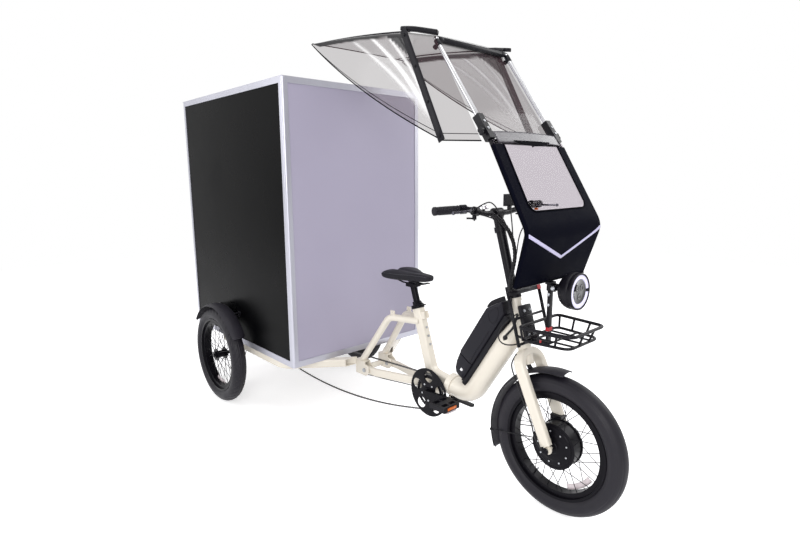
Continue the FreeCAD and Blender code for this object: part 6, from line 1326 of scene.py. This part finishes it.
addPiece("basketTubes", wires, blackCoat, "frame", ["front_basket"])
plateMiddle = at(*headPlace(738, 37.5, 0))
corner = np.array([(-32, -64), (-28, -68), (28, -68), (32, -64), (32, 64), (28, 68), (-28, 68), (-32, 64)]) / 1000
flat = plateMiddle + corner[:, :1] * np.array([0, 1.0, 0]) + corner[:, 1:] * headUp
rows = [flat + headForward * depth for depth in (-0.0074, 0.0084)]
fixed = [grid(np.array(rows), loopCols=True, caps=True)]
fixed.append(slab(at(1822, -12, 657), at(1832, 12, 893)))
fixed.append(slab(at(1733, -14, 651), at(1832, 14, 663)))
for y in (-20.0, 12.0):
    fixed.append(slab(at(1822, y, 861), at(1858, y + 8, 885)))
fixed.append(bar((1849, -21, 873), (1849, 21, 873), 5.0))
fixed.append(slab(at(1814, -17, 884), at(1840, 17, 894)))
addPiece("lampPost", fixed, blackCoat, "frame", bevel=0.9)
bolts = []
for y in (-18.0, 18.0):
    for up in (-46.0, 46.0):
        spot = plateMiddle + np.array([0, y / 1000, 0]) + headUp * up / 1000 + headForward * 0.0082
        bolts.append(lathe(spot, headForward, [(0, 6.2), (0.8, 6.2), (0.8, 5), (4, 5), (4.8, 4), (4.8, 0)], 16))
for z in (846.0, 806.0, 700.0):
    bolts.append(lathe(at(1827, -12, z), (0, -1, 0),
                       [(0, 6.5), (0.8, 6.5), (0.8, 5.2), (4.4, 5.2), (5, 4.4), (5, 0)], 6))
for sign in (-1, 1):
    bolts.append(lathe(at(1849, sign * 20, 873), (0, sign, 0),
                       [(0, 8.5), (1.2, 8.5), (1.2, 7), (6, 7), (6.8, 6), (6.8, 0)], 6))
addPiece("basketBolts", bolts, brightSteel, "frame", smooth=False)
tags = [sweepAlong(np.linspace(at(*headPlace(862, 58, 76)), at(*headPlace(862, 58, 100)), 3),
                   np.array([(-3.6, -9.6), (3.6, -9.6), (3.6, 9.6), (-3.6, 9.6)]), unit(headUp)),
        slab(at(1820.6, -13.4, 706), at(1833.4, 13.4, 720)), slab(at(1790, -15, 650), at(1806, 15, 664))]
addPiece("redTags", tags, redTag, "frame", bevel=0.6, smooth=False)
print("basket made")


ringForm = {"centre": (1250.0, 297.0), "guard": 113.0, "hub": 26.0, "window": 69.0, "back": -52.6, "front": -55.5}


def guardPlate():
    # five equal sectors; in each, rays from the window's middle run from the window's edge to the sector's edge
    turn = turnSteps(72)
    sector = math.radians(36.0)
    hub, rim, middle = ringForm["hub"] - 2, ringForm["guard"], ringForm["window"]
    edge = np.concatenate([polar(rim, np.linspace(-sector, sector, 200)),
                           polar(np.linspace(rim, hub, 200), sector),
                           polar(hub, np.linspace(sector, -sector, 80)),
                           polar(np.linspace(hub, rim, 200), -sector)])
    seen = np.unwrap(np.arctan2(edge[:, 1], edge[:, 0] - middle)) % (2 * np.pi)
    order = np.argsort(seen)
    outer = np.stack([np.interp(turn, seen[order], edge[order, k], period=2 * np.pi) for k in (0, 1)], -1)
    reach = 24.0 / np.sqrt((np.cos(turn) / 1.15) ** 2 + np.sin(turn) ** 2) * (1 + 0.2 * np.cos(turn))
    return polar(reach, turn) + np.array([middle, 0.0]), outer


inner, outer = guardPlate()
mix = np.array([0.0, 0.06, 0.5, 1.0])[:, None, None]
flat = inner + (outer - inner) * mix
ringParts = []
for k in range(5):
    a = 2 * math.pi * (k + 0.25) / 5
    x = flat[..., 0] * math.cos(a) - flat[..., 1] * math.sin(a) + ringForm["centre"][0]
    z = flat[..., 0] * math.sin(a) + flat[..., 1] * math.cos(a) + ringForm["centre"][1]
    front = at(x, ringForm["front"], z)
    front[0, :, 1] += 0.0006
    back = at(x, ringForm["back"], z)
    ringParts += [grid(front, loopCols=True), grid(back[::-1], loopCols=True),
                  grid(np.stack([back[0], front[0]]), loopCols=True)]


def ringRow(radius, y, count):
    # a circle, or a toothed line, about the crank's axle
    x, z = polar(radius, turnSteps(count)).T
    return at(x + ringForm["centre"][0], y, z + ringForm["centre"][1])


ringParts.append(grid(np.stack([ringRow(ringForm["guard"], ringForm[k], 200) for k in ("back", "front")]),
                      loopCols=True))
crankAt = at(ringForm["centre"][0], 0, ringForm["centre"][1])
ringParts.append(lathe(crankAt + np.array([0, -0.0445, 0]), (0, -1, 0),
                       [(0, 12.2), (0, 25), (1, 26), (11, 26), (11, 12.2)], 48))
tooth = 79.3 + 1.5 * np.cos(40 * turnSteps(400))
toothSection = ((64.0, -47.4), (tooth - 2, -47.4), (tooth, -46.6), (tooth, -45.4), (tooth - 2, -44.6),
                (64.0, -44.6))
ringParts.append(grid(np.array([ringRow(radius, y, 400) for radius, y in toothSection]), loopRows=True,
                      loopCols=True))
arms = [np.array([math.cos(a), 0, math.sin(a)]) for a in 2 * math.pi * (np.arange(5) + 0.75) / 5]
for way in arms:
    line = np.linspace(crankAt + way * 0.024, crankAt + way * 0.066, 3) + np.array([0, -0.046, 0])
    ringParts.append(sweepAlong(line, np.array([(-9, -1.4), (9, -1.4), (9, 1.4), (-9, 1.4)]), (0, 1, 0)))
addPiece("chainGuardRing", ringParts, blackAnodised, "crank", ["chainring"])
ringBolts = [lathe(crankAt + way * 0.040 + np.array([0, -0.0552, 0]), (0, -1, 0),
                   [(0, 5), (1.2, 5), (2, 4), (2, 0)], 14) for way in arms]
addPiece("chainringBolts", ringBolts, brightSteel, "crank")
tag = [slab(at(1612, 200, 1137), at(1628, 207, 1146))]
addPiece("leverTag", tag, amberLens, "steering", bevel=0.8, smooth=False)
print("chainring made")
